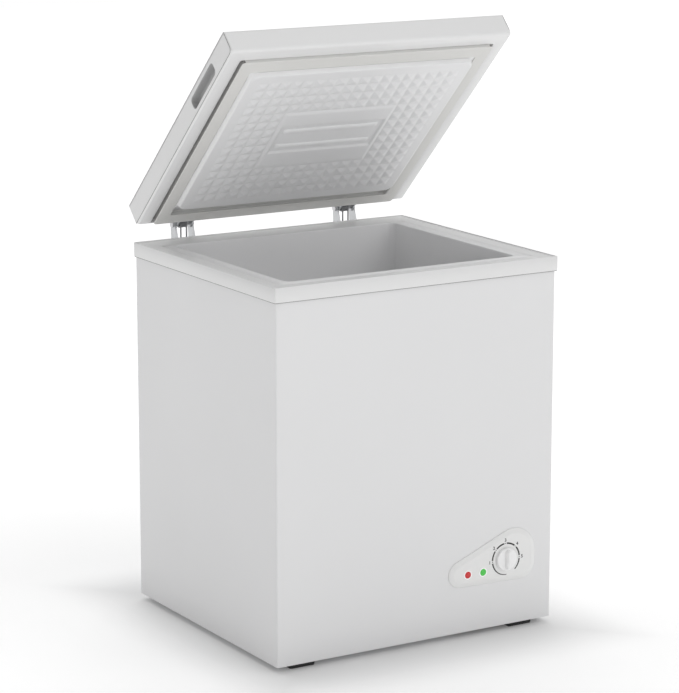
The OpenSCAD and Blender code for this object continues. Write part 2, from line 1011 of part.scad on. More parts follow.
// The outline of a handle recess grown by g, as a prism along X from x
module cup_prism(x, g, h) {
    w = cup_len + 2 * g;
    v = cup_high + 2 * g;
    r = cup_r + g;
    translate([x, cup_y, cup_z])
        rotate([90, 0, 90])
            linear_extrude(height = h) {
                square([w - 2 * r, v], center = true);
                square([w, v - 2 * r], center = true);
                for (i = [-1, 1], k = [-1, 1])
                    translate([i * (w / 2 - r), k * (v / 2 - r)])
                        circle(r = r);
            }
}

module cup_spaces(g, deep) {
    cup_prism(-lid_x - 1, g, deep + 1);
    cup_prism(lid_x - deep, g, deep + 1);
}

module lid_shell() {
    bottom = lid_bottom + frame_t + frame_seam;
    color("white")
        opened()
            difference() {
                block([-lid_x, lid_x], [lid_front, lid_rear], [bottom, lid_top]);
                block([-lid_x + lid_skin, lid_x - lid_skin],
                    [lid_front + lid_skin, lid_rear - lid_skin], [bottom - 1, lid_top - lid_skin]);
                cup_spaces(0, cup_deep);
                leaf_screw_holes();
            }
}

module lid_frame() {
    lip = lid_skin + 0.2;
    color("white")
        opened()
            difference() {
                union() {
                    block([-lid_x, lid_x], [lid_front, lid_rear],
                        [lid_bottom, lid_bottom + frame_t]);
                    block([-lid_x + lip, lid_x - lip], [lid_front + lip, lid_rear - lip],
                        [lid_bottom, lid_bottom + frame_t + 4]);
                }
                block([-lid_x + flange_w, lid_x - flange_w],
                    [lid_front + flange_w, lid_rear - rear_flange_w],
                    [lid_bottom - 1, lid_bottom + frame_t + 0.01]);
                block([-lid_x + lip + 2, lid_x - lip - 2], [lid_front + lip + 2, lid_rear - lip - 2],
                    [lid_bottom + frame_t, lid_bottom + 20]);
            }
}

module lid_insulation() {
    top = lid_top - lid_skin;
    color("khaki")
        opened()
            difference() {
                union() {
                    block([-lid_x + lid_skin, lid_x - lid_skin],
                        [lid_front + lid_skin, lid_rear - lid_skin],
                        [lid_bottom + frame_t + 4.2, top]);
                    plug(panel_t, top);
                    block([-lid_x + flange_w - 3, lid_x - flange_w + 3],
                        [lid_front + flange_w - 3, lid_rear - rear_flange_w + 0.5],
                        [panel_z + panel_t, top]);
                }
                cup_spaces(cup_t, cup_deep + cup_t);
                leaf_screw_holes();
            }
}

// The inner panel's tray, grown inwards by g and cut off at z = top
module plug(g, top) {
    block([-plug_x + g, plug_x - g], [plug_front + g, plug_rear - g], [plug_z + g, top]);
}

module lid_inner_panel() {
    middle = (plug_front + plug_rear) / 2;
    color("white")
        opened()
            difference() {
                union() {
                    block([-lid_x + flange_w - 3, lid_x - flange_w + 3],
                        [lid_front + flange_w - 3, lid_rear - rear_flange_w + 0.5],
                        [panel_z, panel_z + panel_t]);
                    plug(0, panel_z + panel_t);
                    block([-plug_x + raised_in, plug_x - raised_in],
                        [plug_front + raised_in, plug_rear - raised_in],
                        [plug_z - raised_h, plug_z + 1]);
                    for (i = [-1 : 1])
                        pin(-90, middle + i * rib_gap, plug_z - raised_h + 1, 4, 180);
                }
                plug(panel_t, lid_top);
            }
}

module lid_gasket() {
    color("silver")
        opened()
            difference() {
                block([-gasket_x, gasket_x], [gasket_front, gasket_rear], [gasket_z, panel_z]);
                block([-gasket_x + gasket_w, gasket_x - gasket_w],
                    [gasket_front + gasket_w, gasket_rear - gasket_w], [gasket_z - 1, panel_z + 1]);
            }
}

module handle_cup(side) {
    color("gray")
        opened()
            difference() {
                cup_prism(side < 0 ? -lid_x + lid_skin : lid_x - cup_deep - cup_t, cup_t,
                    cup_deep + cup_t - lid_skin);
                cup_prism(side < 0 ? -lid_x - 1 : lid_x - cup_deep, 0, cup_deep + 1);
            }
}

// ---- Every node ----

front_panel();
left_side_panel();
right_side_panel();
back_panel();
base_pan();
compressor_base_plate();
compartment_bulkhead();
cabinet_insulation();
inner_liner();
rim_frame();
evaporator_coil();
condenser_coil();
suction_line();
discharge_line();
liquid_line();
filter_drier();
capillary_tube();
compressor_lower_shell();
compressor_upper_shell();
compressor_motor();
compressor_suspension();
compressor_foot_plate();
compressor_grommets();
compressor_bolts();
terminal_cover();
rear_grille();
rear_grille_screws();
side_vent_grille();
cord_gland();
control_panel();
thermostat_body();
thermostat_shaft();
control_knob();
power_lamp_lens();
run_lamp_lens();
lamp_holders();
control_wiring();
drain_tube();
drain_plug();
drain_cap();
feet();
foot_screws();
hinge_bracket(-1);  // hinge_bracket_left
hinge_bracket(1);  // hinge_bracket_right
hinge_leaf(-1);  // hinge_leaf_left
hinge_leaf(1);  // hinge_leaf_right
hinge_pin(-1);  // hinge_pin_left
hinge_pin(1);  // hinge_pin_right
hinge_spring(-1);  // hinge_spring_left
hinge_spring(1);  // hinge_spring_right
hinge_bracket_screws();
hinge_leaf_screws();
lid_shell();
lid_frame();
lid_insulation();
lid_inner_panel();
lid_gasket();
handle_cup(-1);  // handle_cup_left
handle_cup(1);  // handle_cup_right
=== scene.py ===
import json
import math

import bmesh
import bpy
from mathutils import Matrix, Vector


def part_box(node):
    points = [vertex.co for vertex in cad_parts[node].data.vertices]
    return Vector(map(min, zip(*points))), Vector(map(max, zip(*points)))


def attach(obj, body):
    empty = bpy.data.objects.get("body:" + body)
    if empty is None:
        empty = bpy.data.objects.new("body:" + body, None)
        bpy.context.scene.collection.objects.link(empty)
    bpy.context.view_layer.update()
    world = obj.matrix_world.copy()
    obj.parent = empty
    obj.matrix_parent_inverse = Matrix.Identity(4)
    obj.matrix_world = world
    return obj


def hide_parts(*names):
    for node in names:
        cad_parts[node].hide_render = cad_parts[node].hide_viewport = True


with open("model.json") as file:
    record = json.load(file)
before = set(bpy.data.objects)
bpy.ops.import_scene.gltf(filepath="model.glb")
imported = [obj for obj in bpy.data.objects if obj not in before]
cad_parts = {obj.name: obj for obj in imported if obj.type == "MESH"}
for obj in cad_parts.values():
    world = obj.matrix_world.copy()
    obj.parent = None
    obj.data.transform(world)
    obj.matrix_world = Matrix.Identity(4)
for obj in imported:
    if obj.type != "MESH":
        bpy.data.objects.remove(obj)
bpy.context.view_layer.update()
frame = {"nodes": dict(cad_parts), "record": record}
MM = 0.001
nodes = frame["nodes"]

# ---------------------------------------------------------------- where things are

hinge = next(j for j in frame["record"]["behaviour"]["joints"] if j["name"] == "lid_hinge")
pivot = Vector(hinge["pos_m"])
lid_angle = math.radians(-hinge["range_deg"][0])
OPEN = (
    Matrix.Translation(pivot)
    @ Matrix.Rotation(-lid_angle, 4, "X")
    @ Matrix.Translation(-pivot)
)
CLOSE = OPEN.inverted()


def limits(points):
    """The lowest and the highest corner of the box round some points."""
    return (Vector([min(p[i] for p in points) for i in range(3)]),
            Vector([max(p[i] for p in points) for i in range(3)]))


def shut(node):
    """The node's points with the lid shut."""
    return [CLOSE @ v.co for v in nodes[node].data.vertices]


front_lo, front_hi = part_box("front_panel")
side_x, panel_top = front_hi.x, front_hi.z
front_y, base_z = front_lo.y, front_lo.z
rear_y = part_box("back_panel")[1].y
rim_lo, rim_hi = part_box("rim_frame")
liner_lo, liner_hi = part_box("inner_liner")
bezel_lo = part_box("control_panel")[0]
knob_lo, knob_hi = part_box("control_knob")
knob_x = (knob_lo.x + knob_hi.x) / 2
knob_z = (knob_lo.z + knob_hi.z) / 2
lamps = []
for lamp in ("power_lamp_lens", "run_lamp_lens"):
    lo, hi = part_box(lamp)
    lamps.append(((lo.x + hi.x) / 2, (lo.z + hi.z) / 2, lamp))
    lamp_radius = round((hi.z - lo.z) / 2 / MM, 2)      # mm, the same for both

# the lid's pieces are made with the lid shut
shell_lo, shell_hi = limits(shut("lid_shell"))
gasket_lo, gasket_hi = limits(shut("lid_gasket"))
tray_lo, tray_hi = limits(shut("lid_inner_panel"))
cup_lo, cup_hi = limits(shut("handle_cup_left"))
lid_x, lid_y0, lid_y1 = shell_hi.x, shell_lo.y, shell_hi.y
lid_z0, lid_z1 = limits(shut("lid_frame"))[0].z, shell_hi.z
# the part of the tray that reaches into the cabinet
plug_lo, plug_hi = limits([p for p in shut("lid_inner_panel") if p.z < gasket_lo.z - 2 * MM])

# ---------------------------------------------------------------- materials


def feed(tree, node, inputs):
    """Sets a node's inputs: a constant goes on the socket, another node's output is linked."""
    for key, value in inputs.items():
        if isinstance(value, bpy.types.NodeSocket):
            tree.links.new(value, node.inputs[key])
        else:
            node.inputs[key].default_value = value


def add(tree, kind, inputs, **settings):
    """A new node with these inputs and these settings of its own."""
    node = tree.nodes.new(kind)
    for key, value in settings.items():
        setattr(node, key, value)
    feed(tree, node, inputs)
    return node


def new_material(name):
    m = bpy.data.materials.new(name)
    m.use_nodes = True
    t = m.node_tree
    return m, t, t.nodes["Principled BSDF"]


def texture(t, kind, stretch=None, **inputs):
    """A texture node that reads the object's own coordinates."""
    spot = add(t, "ShaderNodeTexCoord", {}).outputs["Object"]
    if stretch:
        spot = add(t, "ShaderNodeMapping", {"Vector": spot, "Scale": stretch}).outputs["Vector"]
    return add(t, kind, {"Vector": spot, **inputs})


def noise(t, scale, detail=3.0, rough=0.55, stretch=None):
    return texture(t, "ShaderNodeTexNoise", stretch, Scale=scale, Detail=detail,
                   Roughness=rough).outputs["Fac"]


def smooth_ramp(t, source, near, far, low, high):
    """Goes from low to high while the source goes from near to far."""
    return add(t, "ShaderNodeMapRange",
               {"Value": source, "From Min": near, "From Max": far, "To Min": low, "To Max": high},
               interpolation_type="SMOOTHSTEP").outputs["Result"]


def tones(colour, spread):
    """A colour's darker and lighter tone."""
    return (tuple(c * (1 - spread) for c in colour),
            tuple(min(1, c * (1 + spread)) for c in colour))


def vary_colour(t, shader, source, dark, light, lo=0.3, hi=0.7):
    ramp = add(t, "ShaderNodeValToRGB", {"Fac": source})
    ramp.color_ramp.interpolation = "EASE"
    first, last = ramp.color_ramp.elements
    first.position, last.position = lo, hi
    first.color, last.color = (*dark, 1), (*light, 1)
    feed(t, shader, {"Base Color": ramp.outputs["Color"]})


def vary_roughness(t, shader, source, lo, hi):
    feed(t, shader, {"Roughness": smooth_ramp(t, source, 0.3, 0.7, lo, hi)})


def bumps(t, shader, *layers):
    """layers: (source, height in metres)."""
    normal = {}
    for source, height in layers:
        bump = add(t, "ShaderNodeBump",
                   {"Strength": 1.0, "Distance": height, "Height": source, **normal})
        normal = {"Normal": bump.outputs["Normal"]}
    feed(t, shader, normal)


def coated(name, colour, spread, rough, peel, wave=0, coat=0, grain=700):
    """Paint or moulded plastic: slight tone changes, fine surface texture, slow waviness."""
    m, t, s = new_material(name)
    vary_colour(t, s, noise(t, 3, 0), *tones(colour, spread), 0.2, 0.8)
    vary_roughness(t, s, noise(t, 7, 0), *rough)
    layers = [(noise(t, grain, 1), peel)]
    if wave:
        layers.append((noise(t, 4.5, 1), wave))
    bumps(t, s, *layers)
    if coat:
        feed(t, s, {"Coat Weight": coat, "Coat Roughness": 0.12})
    return m


def metal(name, colour, rough, spread=0.05, brushed=None, bump=0.000006, scale=300):
    m, t, s = new_material(name)
    grain = noise(t, scale, 3, stretch=brushed)
    vary_colour(t, s, grain, *tones(colour, spread))
    vary_roughness(t, s, noise(t, 45, 4), *rough)
    bumps(t, s, (grain, bump))
    feed(t, s, {"Metallic": 1.0})
    return m


def grained(name, colour, spread, rough, scale, bump):
    """Rubber or textured plastic."""
    m, t, s = new_material(name)
    grain = noise(t, scale, 4, 0.7)
    vary_colour(t, s, grain, *tones(colour, spread))
    vary_roughness(t, s, noise(t, 60, 4), *rough)
    bumps(t, s, (grain, bump))
    return m


def spangled(name):
    """Zinc-coated sheet with its crystal pattern."""
    m, t, s = new_material(name)
    crystals = texture(t, "ShaderNodeTexVoronoi", Scale=110).outputs["Color"]
    vary_colour(t, s, crystals, (0.48, 0.49, 0.51), (0.58, 0.59, 0.61), 0.1, 0.9)
    vary_roughness(t, s, noise(t, 30, 4), 0.34, 0.5)
    bumps(t, s, (noise(t, 260, 2), 0.00001), (noise(t, 4, 1), 0.0012))
    feed(t, s, {"Metallic": 0.85})
    return m


def foamed(name):
    m, t, s = new_material(name)
    vary_colour(t, s, noise(t, 40, 5), (0.78, 0.68, 0.42), (0.9, 0.82, 0.6))
    vary_roughness(t, s, noise(t, 60, 3), 0.85, 0.95)
    cells = texture(t, "ShaderNodeTexVoronoi", Scale=500).outputs["Distance"]
    bumps(t, s, (cells, 0.0004))
    return m


def lens(name, dark, light, glow):
    """A moulded lamp lens: deep colour, fine prisms, gloss."""
    m, t, s = new_material(name)
    vary_colour(t, s, noise(t, 260, 2), dark, light, 0.25, 0.75)
    vary_roughness(t, s, noise(t, 90, 2), 0.1, 0.2)
    bumps(t, s, (noise(t, 900, 1), 0.00005))
    feed(t, s, {"Emission Color": (*glow, 1), "Emission Strength": 0.12, "Coat Weight": 0.5,
                "Coat Roughness": 0.08})
    return m


# coated: tone, spread, roughness, grain height, wave height, clear coat, grain scale
PAINT = coated("white_paint", (0.8, 0.8, 0.805), 0.005, (0.34, 0.4), 0.000012, 0.0006, 0.15, 520)
LID_PAINT = coated("lid_paint", (0.8, 0.8, 0.8), 0.005, (0.34, 0.4), 0.000012, 0.0004, 0.15, 520)
RIM = coated("rim_plastic", (0.8, 0.8, 0.8), 0.005, (0.32, 0.37), 0.00001, 0.0001, 0.1)
FLANGE = coated("flange_plastic", (0.84, 0.84, 0.84), 0.005, (0.29, 0.33), 0.000006, 0.0001, 0.2)
LINER = coated("liner_sheet", (0.87, 0.87, 0.875), 0.005, (0.29, 0.33), 0.00001, 0.0003, 0.15, 500)
TRAY = coated("tray_sheet", (0.84, 0.84, 0.845), 0.005, (0.3, 0.34), 0.00001, 0.0001, 0.15, 500)
BEZEL = coated("bezel_plastic", (0.84, 0.84, 0.835), 0.005, (0.28, 0.32), 0.000008, 0, 0.15, 900)
# painted glow: near-white ring plastic, given a glow below as if lit by the lamps
GLOWING_RING = coated("lamp_ring_painted_glow", (0.95, 0.95, 0.95), 0.005, (0.2, 0.26), 0.000006, 0, 0.3, 900)
KNOB = coated("knob_plastic", (0.93, 0.93, 0.93), 0.006, (0.32, 0.38), 0.000012, 0, 0.1, 900)
CUP = coated("cup_plastic", (0.44, 0.44, 0.44), 0.03, (0.4, 0.55), 0.00003, 0, 0, 1400)
DARK = coated("dark_paint", (0.06, 0.06, 0.065), 0.08, (0.4, 0.55), 0.00002, 0, 0, 600)
COMPRESSOR = coated("black_enamel", (0.012, 0.012, 0.013), 0.1, (0.29, 0.4), 0.00002, 0, 0.3, 400)
# grained: tone, spread, roughness, grain scale, grain height
GASKET = grained("gasket_rubber", (0.74, 0.736, 0.715), 0.012, (0.5, 0.62), 1400, 0.00002)
# painted shade: the outer bellows are dark grey for the shade in the gasket's groove
SHADED_BELLOWS = grained("gasket_bellows", (0.3, 0.298, 0.29), 0.05, (0.6, 0.75), 900, 0.00003)
LIP = grained("gasket_lip", (0.68, 0.677, 0.66), 0.02, (0.5, 0.62), 1400, 0.00002)
# painted shadow: dark grey strip under the rim, a sealant joint that also stands for the shade
# under the lip
SHADOW_SEAL = grained("rim_shadow_sealant", (0.3, 0.3, 0.3), 0.05, (0.6, 0.8), 900, 0.00003)
# painted shadow: a dark joint that also stands for the shade in the lid's side seams
SEAM_SHADOW = grained("seam_sealant_and_shadow", (0.22, 0.22, 0.22), 0.1, (0.6, 0.8), 900, 0.00003)
INK = grained("dial_ink", (0.012, 0.012, 0.012), 0.2, (0.4, 0.55), 1500, 0.00001)
GREY_INK = grained("numeral_ink", (0.02, 0.02, 0.021), 0.15, (0.4, 0.55), 1500, 0.00001)
BLACK = grained("black_plastic", (0.018, 0.018, 0.019), 0.2, (0.45, 0.6), 1100, 0.00004)
RUBBER = grained("black_rubber", (0.022, 0.022, 0.022), 0.2, (0.6, 0.75), 800, 0.00006)
GREY = grained("grey_plastic", (0.3, 0.3, 0.305), 0.06, (0.4, 0.55), 1100, 0.00004)
# metal: tone, roughness, spread, stretch of the brushing, grain height, grain scale
STEEL = metal("hinge_steel", (0.56, 0.57, 0.58), (0.28, 0.42), 0.05, (1, 9, 1), 0.00001, 220)
SCREW = metal("screw_steel", (0.6, 0.6, 0.61), (0.29, 0.38))
SPRING = metal("spring_steel", (0.3, 0.3, 0.31), (0.3, 0.45), 0.08)
COPPER = metal("copper_tube", (0.72, 0.35, 0.2), (0.29, 0.45), 0.12, None, 0.00001, 120)
ALU = metal("aluminium_tube", (0.7, 0.71, 0.72), (0.3, 0.45))
CAST = metal("cast_iron", (0.2, 0.2, 0.21), (0.5, 0.7), 0.15, None, 0.00008, 500)
RED = lens("red_lens", (0.42, 0.003, 0.006), (0.6, 0.012, 0.014), (0.8, 0.02, 0.02))
GREEN = lens("green_lens", (0.03, 0.42, 0.04), (0.07, 0.58, 0.07), (0.08, 0.8, 0.08))
ZINC = spangled("zinc_sheet")
FOAM = foamed("foam")
# painted glow: the rings glow a little, as if the lamps lit them
feed(GLOWING_RING.node_tree, GLOWING_RING.node_tree.nodes["Principled BSDF"],
     {"Emission Color": (1, 1, 1, 1), "Emission Strength": 0.15})

# ---------------------------------------------------------------- mesh helpers


def place(name, data):
    o = bpy.data.objects.new(name, data)
    bpy.context.scene.collection.objects.link(o)
    return o


def shade(o, angle):
    o.data.shade_smooth()
    o.data.set_sharp_from_angle(angle=math.radians(angle))


def build(name, verts, faces, material, body, angle, **more):
    me = bpy.data.meshes.new(name)
    me.from_pydata([tuple(v) for v in verts], [], faces)
    return finish_mesh(name, me, material, body, angle, **more)


def finish_mesh(name, me, material, body, angle, slot, stands_for=()):
    bm = bmesh.new()
    bm.from_mesh(me)
    bmesh.ops.recalc_face_normals(bm, faces=bm.faces)
    bm.to_mesh(me)
    bm.free()
    if body == "lid":
        me.transform(OPEN)
    me.materials.clear()
    me.materials.append(material)
    o = place(name, me)
    shade(o, angle)
    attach(o, body)
    if stands_for:
        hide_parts(*stands_for)
    return o


def weld(o, angle):
    """Joins the points that a piece's parts share."""
    bm = bmesh.new()
    bm.from_mesh(o.data)
    bmesh.ops.remove_doubles(bm, verts=bm.verts, dist=2e-6)
    bmesh.ops.recalc_face_normals(bm, faces=bm.faces)
    bm.to_mesh(o.data)
    bm.free()
    shade(o, angle)


def thicken(o, thickness, offset=-1, even=False):
    """Gives a sheet its thickness in mm, behind its face (offset -1) or to both sides (0)."""
    solid = o.modifiers.new("sheet", "SOLIDIFY")
    solid.thickness = thickness * MM
    solid.offset = offset
    solid.use_even_offset = even


def rounded(x0, x1, y0, y1, r, n=6):
    """Corner-rounded rectangle, anticlockwise, the same number of points whatever its size."""
    points = []
    for cx, cy, start in ((x1 - r, y1 - r, 0), (x0 + r, y1 - r, 90), (x0 + r, y0 + r, 180),
                          (x1 - r, y0 + r, 270)):
        for k in range(n + 1):
            a = math.radians(start + 90 * k / n)
            points.append((cx + r * math.cos(a), cy + r * math.sin(a)))
    return points


def circle(cx, cy, r, n):
    turns = [2 * math.pi * k / n for k in range(n)]
    return [(cx + r * math.cos(a), cy + r * math.sin(a)) for a in turns]


def level(points, z):
    return [Vector((x, y, z)) for x, y in points]


def ring(box, inset, z, r, front=None, rear=None, n=6):
    """A rounded rectangle at height z, inside box: (half width, front y, rear y).

    The insets and the corner radius are in mm; front and rear default to the side inset.
    """
    x, y0, y1 = box
    front = inset if front is None else front
    rear = inset if rear is None else rear
    return level(rounded(-x + inset * MM, x - inset * MM, y0 + front * MM, y1 - rear * MM,
                         r * MM, n), z)


def loft(rings, closed=False, cap_first=False, cap_last=False):
    verts, faces = [], []
    n = len(rings[0])
    for points in rings:
        verts += points
    last = len(rings) if closed else len(rings) - 1
    for i in range(last):
        j = (i + 1) % len(rings)
        for k in range(n):
            m = (k + 1) % n
            faces.append((i * n + k, i * n + m, j * n + m, j * n + k))
    if cap_first:
        faces.append(tuple(range(n)))
    if cap_last:
        faces.append(tuple((len(rings) - 1) * n + k for k in range(n)))
    return verts, faces


def lathe(profile, steps):
    """profile: (radius, height) pairs in mm, turned about Z. Returns vertices and faces."""
    verts, faces = [], []
    n = len(profile)
    for k in range(steps):
        a = 2 * math.pi * k / steps
        for r, h in profile:
            verts.append(Vector((r * MM * math.cos(a), r * MM * math.sin(a), h * MM)))
    for k in range(steps):
        m = (k + 1) % steps
        for i in range(n - 1):
            faces.append((k * n + i, m * n + i, m * n + i + 1, k * n + i + 1))
    return verts, faces


def bar(half, y0, y1, z0, z1):
    """A plain bar across the lid."""
    base = [(-half, y0), (half, y0), (half, y1), (-half, y1)]
    return loft([level(base, z0), level(base, z1)], cap_first=True, cap_last=True)


def fill(loops):
    """A flat region: its outline first, then its holes. Returns vertices and faces."""
    bm = bmesh.new()
    edges = []
    for loop in loops:
        vs = [bm.verts.new(p) for p in loop]
        edges += [bm.edges.new((vs[k], vs[(k + 1) % len(vs)])) for k in range(len(vs))]
    bmesh.ops.triangle_fill(bm, use_beauty=True, use_dissolve=False, edges=edges)
    bm.verts.index_update()
    verts = [v.co.copy() for v in bm.verts]
    faces = [tuple(v.index for v in f.verts) for f in bm.faces]
    bm.free()
    return verts, faces


def merge(parts):
    """Joins several (vertices, faces) pairs."""
    verts, faces = [], []
    for v, f in parts:
        base = len(verts)
        verts += v
        faces += [tuple(i + base for i in face) for face in f]
    return verts, faces


def to_front(verts, x, y, z):
    """Turns shapes made along +Z so that they point out of the front, at x, y, z."""
    return [Vector((x + v.x, y - v.z, z + v.y)) for v in verts]


# ---------------------------------------------------------------- camera, light and floor

# the camera's place, in units of 0.724 m from the base's front left corner
UNIT = 0.724
away, aside, above = 7.2477, 0.1603, 0.8307
azimuth, elevation = math.radians(-31.24), math.radians(12.27)
corner = Vector((-side_x, front_y, base_z))
back = Vector((
    math.sin(azimuth) * math.cos(elevation),
    -math.cos(azimuth) * math.cos(elevation),
    math.sin(elevation),
))
right = (-back).cross(Vector((0, 0, 1))).normalized()
up = right.cross(-back)
cam = place("camera", bpy.data.cameras.new("camera"))
cam.rotation_mode = "QUATERNION"
cam.location = corner + UNIT * (back * away + right * aside + up * above)
cam.rotation_quaternion = (-back).to_track_quat("-Z", "Y")
cam.data.sensor_width = 36
cam.data.lens = 145.88
cam.data.clip_start, cam.data.clip_end = 0.05, 100
bpy.context.scene.camera = cam
bpy.context.scene.view_settings.view_transform = "Standard"

world = bpy.data.worlds.new("studio")
bpy.context.scene.world = world
world.use_nodes = True
wt = world.node_tree
room = wt.nodes["Background"]
way = add(wt, "ShaderNodeTexCoord", {}).outputs["Generated"]
left_right = add(wt, "ShaderNodeSeparateXYZ", {"Vector": way}).outputs["X"]
# the room is dimmer on the freezer's left than on its right
dim, light = 0.315, 0.66
side = add(wt, "ShaderNodeMapRange",
           {"Value": left_right, "From Min": -1, "From Max": 1, "To Min": dim, "To Max": light})
feed(wt, room, {"Color": (1, 1, 1, 1), "Strength": side.outputs["Result"]})
bright = add(wt, "ShaderNodeBackground", {"Color": (1, 1, 1, 1), "Strength": 1.0})
path = add(wt, "ShaderNodeLightPath", {})
mix = add(wt, "ShaderNodeMixShader", {"Fac": path.outputs["Is Camera Ray"],
                                      1: room.outputs["Background"],
                                      2: bright.outputs["Background"]})
feed(wt, wt.nodes["World Output"], {"Surface": mix.outputs["Shader"]})

# a light's name, the direction from the freezer to it, its width in degrees and its strength
for name, towards, softness, power in (
    ("key", (0.45, -0.8, 0.75), 50, 0.455),
    ("top", (0.05, 0.5, 1.0), 60, 0.95),
    ("edge", (-0.75, -0.65, 0.05), 10, 0.2),
):
    sun = place(name, bpy.data.lights.new(name, "SUN"))
    sun.data.angle = math.radians(softness)
    sun.data.energy = power
    sun.rotation_mode = "QUATERNION"
    sun.rotation_quaternion = Vector(towards).to_track_quat("Z", "Y")

squares, square = 48, 0.5
row = squares + 1
floor_mesh = bpy.data.meshes.new("floor")
floor_mesh.from_pydata(
    [((i - squares / 2) * square, (j - squares / 2) * square, 0)
     for i in range(row) for j in range(row)], [],
    [(a, a + row, a + row + 1, a + 1)
     for i in range(squares) for a in range(i * row, i * row + squares)],
)
floor = place("floor", floor_mesh)
fm, ft, fs = new_material("pale_floor")
vary_colour(ft, fs, noise(ft, 2), (0.74, 0.74, 0.74), (0.76, 0.76, 0.76))
vary_roughness(ft, fs, noise(ft, 6), 0.55, 0.65)


def calc(kind, operation, *values):
    return add(ft, kind, dict(enumerate(values)), operation=operation).outputs["Value"]


# painted shade on the floor: it glows more further out, and least right beside the cabinet, a
# painted contact shadow
spot = add(ft, "ShaderNodeTexCoord", {}).outputs["Object"]
axes = add(ft, "ShaderNodeSeparateXYZ", {"Vector": spot})
narrower = 1.18     # the dim patch against the cabinet
half_w, half_d = side_x / narrower, (rear_y - front_y) / 2
across = calc("ShaderNodeMath", "DIVIDE", axes.outputs["X"], half_w)
along = calc("ShaderNodeMath", "SUBTRACT", axes.outputs["Y"], rear_y - half_d)
along = calc("ShaderNodeMath", "DIVIDE", along, half_d)
across = calc("ShaderNodeMath", "ABSOLUTE", across)
along = calc("ShaderNodeMath", "ABSOLUTE", along)
# painted contact shadow: the floor's glow drops in a patch against the cabinet
beside = smooth_ramp(ft, calc("ShaderNodeMath", "MAXIMUM", across, along), 1.0, 1.8, 0.25, 1.0)
around = smooth_ramp(ft, calc("ShaderNodeVectorMath", "LENGTH", spot), 0.3, 2.0, 0.34, 0.46)
feed(ft, fs, {"Emission Color": (1, 1, 1, 1),
              "Emission Strength": calc("ShaderNodeMath", "MULTIPLY", beside, around)})
floor_mesh.materials.append(fm)

# ---------------------------------------------------------------- cabinet skin


def cabinet_wrap():
    """One sheet round the front and both sides, with rounded corners and a hem below."""
    m = MM
    r_out, t, hem = 3.2 * m, 1.0 * m, 14 * m
    # the hem stands a little below the base pan, so that their faces don't meet
    z0, z1 = base_z - 0.4 * m, panel_top
    panel = [v.co for v in nodes["right_side_panel"].data.vertices]
    vent_lo, vent_hi = limits([v for v in panel if base_z + 5 * m < v.z < panel_top - 5 * m])

    def path(inset, r):
        """Once round the wrap, from its rear left edge to its rear right edge."""
        x0, x1, y0 = -side_x + inset, side_x - inset, front_y + inset
        y1 = rear_y - t
        pts = [(x0, y1)]
        for cx, start in ((x0 + r, 180), (x1 - r, 270)):
            for k in range(9):
                a = math.radians(start + 90 * k / 8)
                pts.append((cx + r * math.cos(a), y0 + r + r * math.sin(a)))
        return pts + [(x1, vent_lo.y), (x1, vent_hi.y), (x1, y1)]

    outer, inner = path(0, r_out), path(t, r_out - t)
    rows = [
        (outer, z1), (outer, vent_hi.z), (outer, vent_lo.z), (outer, z0 + 1.0 * m),
        (path(0.3 * m, r_out - 0.2 * m), z0 + 0.25 * m), (path(0.8 * m, r_out - 0.6 * m), z0),
        (path(hem, 0.5 * m), z0), (path(hem, 0.5 * m), z0 + 0.8 * m), (inner, z0 + 0.8 * m),
        (inner, vent_lo.z), (inner, vent_hi.z), (inner, z1),
    ]
    n = len(outer)
    vent = n - 3            # the path's step from the vent's front edge to its rear edge
    vent_rows = (1, 9)      # outside, then inside
    verts = [Vector((x, y, z)) for pts, z in rows for x, y in pts]
    faces = []
    for i in range(len(rows)):
        j = (i + 1) % len(rows)
        for k in range(n - 1):
            if not (k == vent and i in vent_rows):
                faces.append((i * n + k, i * n + k + 1, j * n + k + 1, j * n + k))
    for k in (0, n - 1):
        faces.append(tuple(i * n + k for i in range(len(rows))))
    edge = [1 * n + vent, 1 * n + vent + 1, 2 * n + vent + 1, 2 * n + vent]
    back_edge = [10 * n + vent, 10 * n + vent + 1, 9 * n + vent + 1, 9 * n + vent]
    for k in range(4):
        q = (k + 1) % 4
        faces.append((edge[k], edge[q], back_edge[q], back_edge[k]))
    build("cabinet_wrap", verts, faces, PAINT, "cabinet", 30,
          stands_for=("front_panel", "left_side_panel", "right_side_panel"), slot="panel_white")


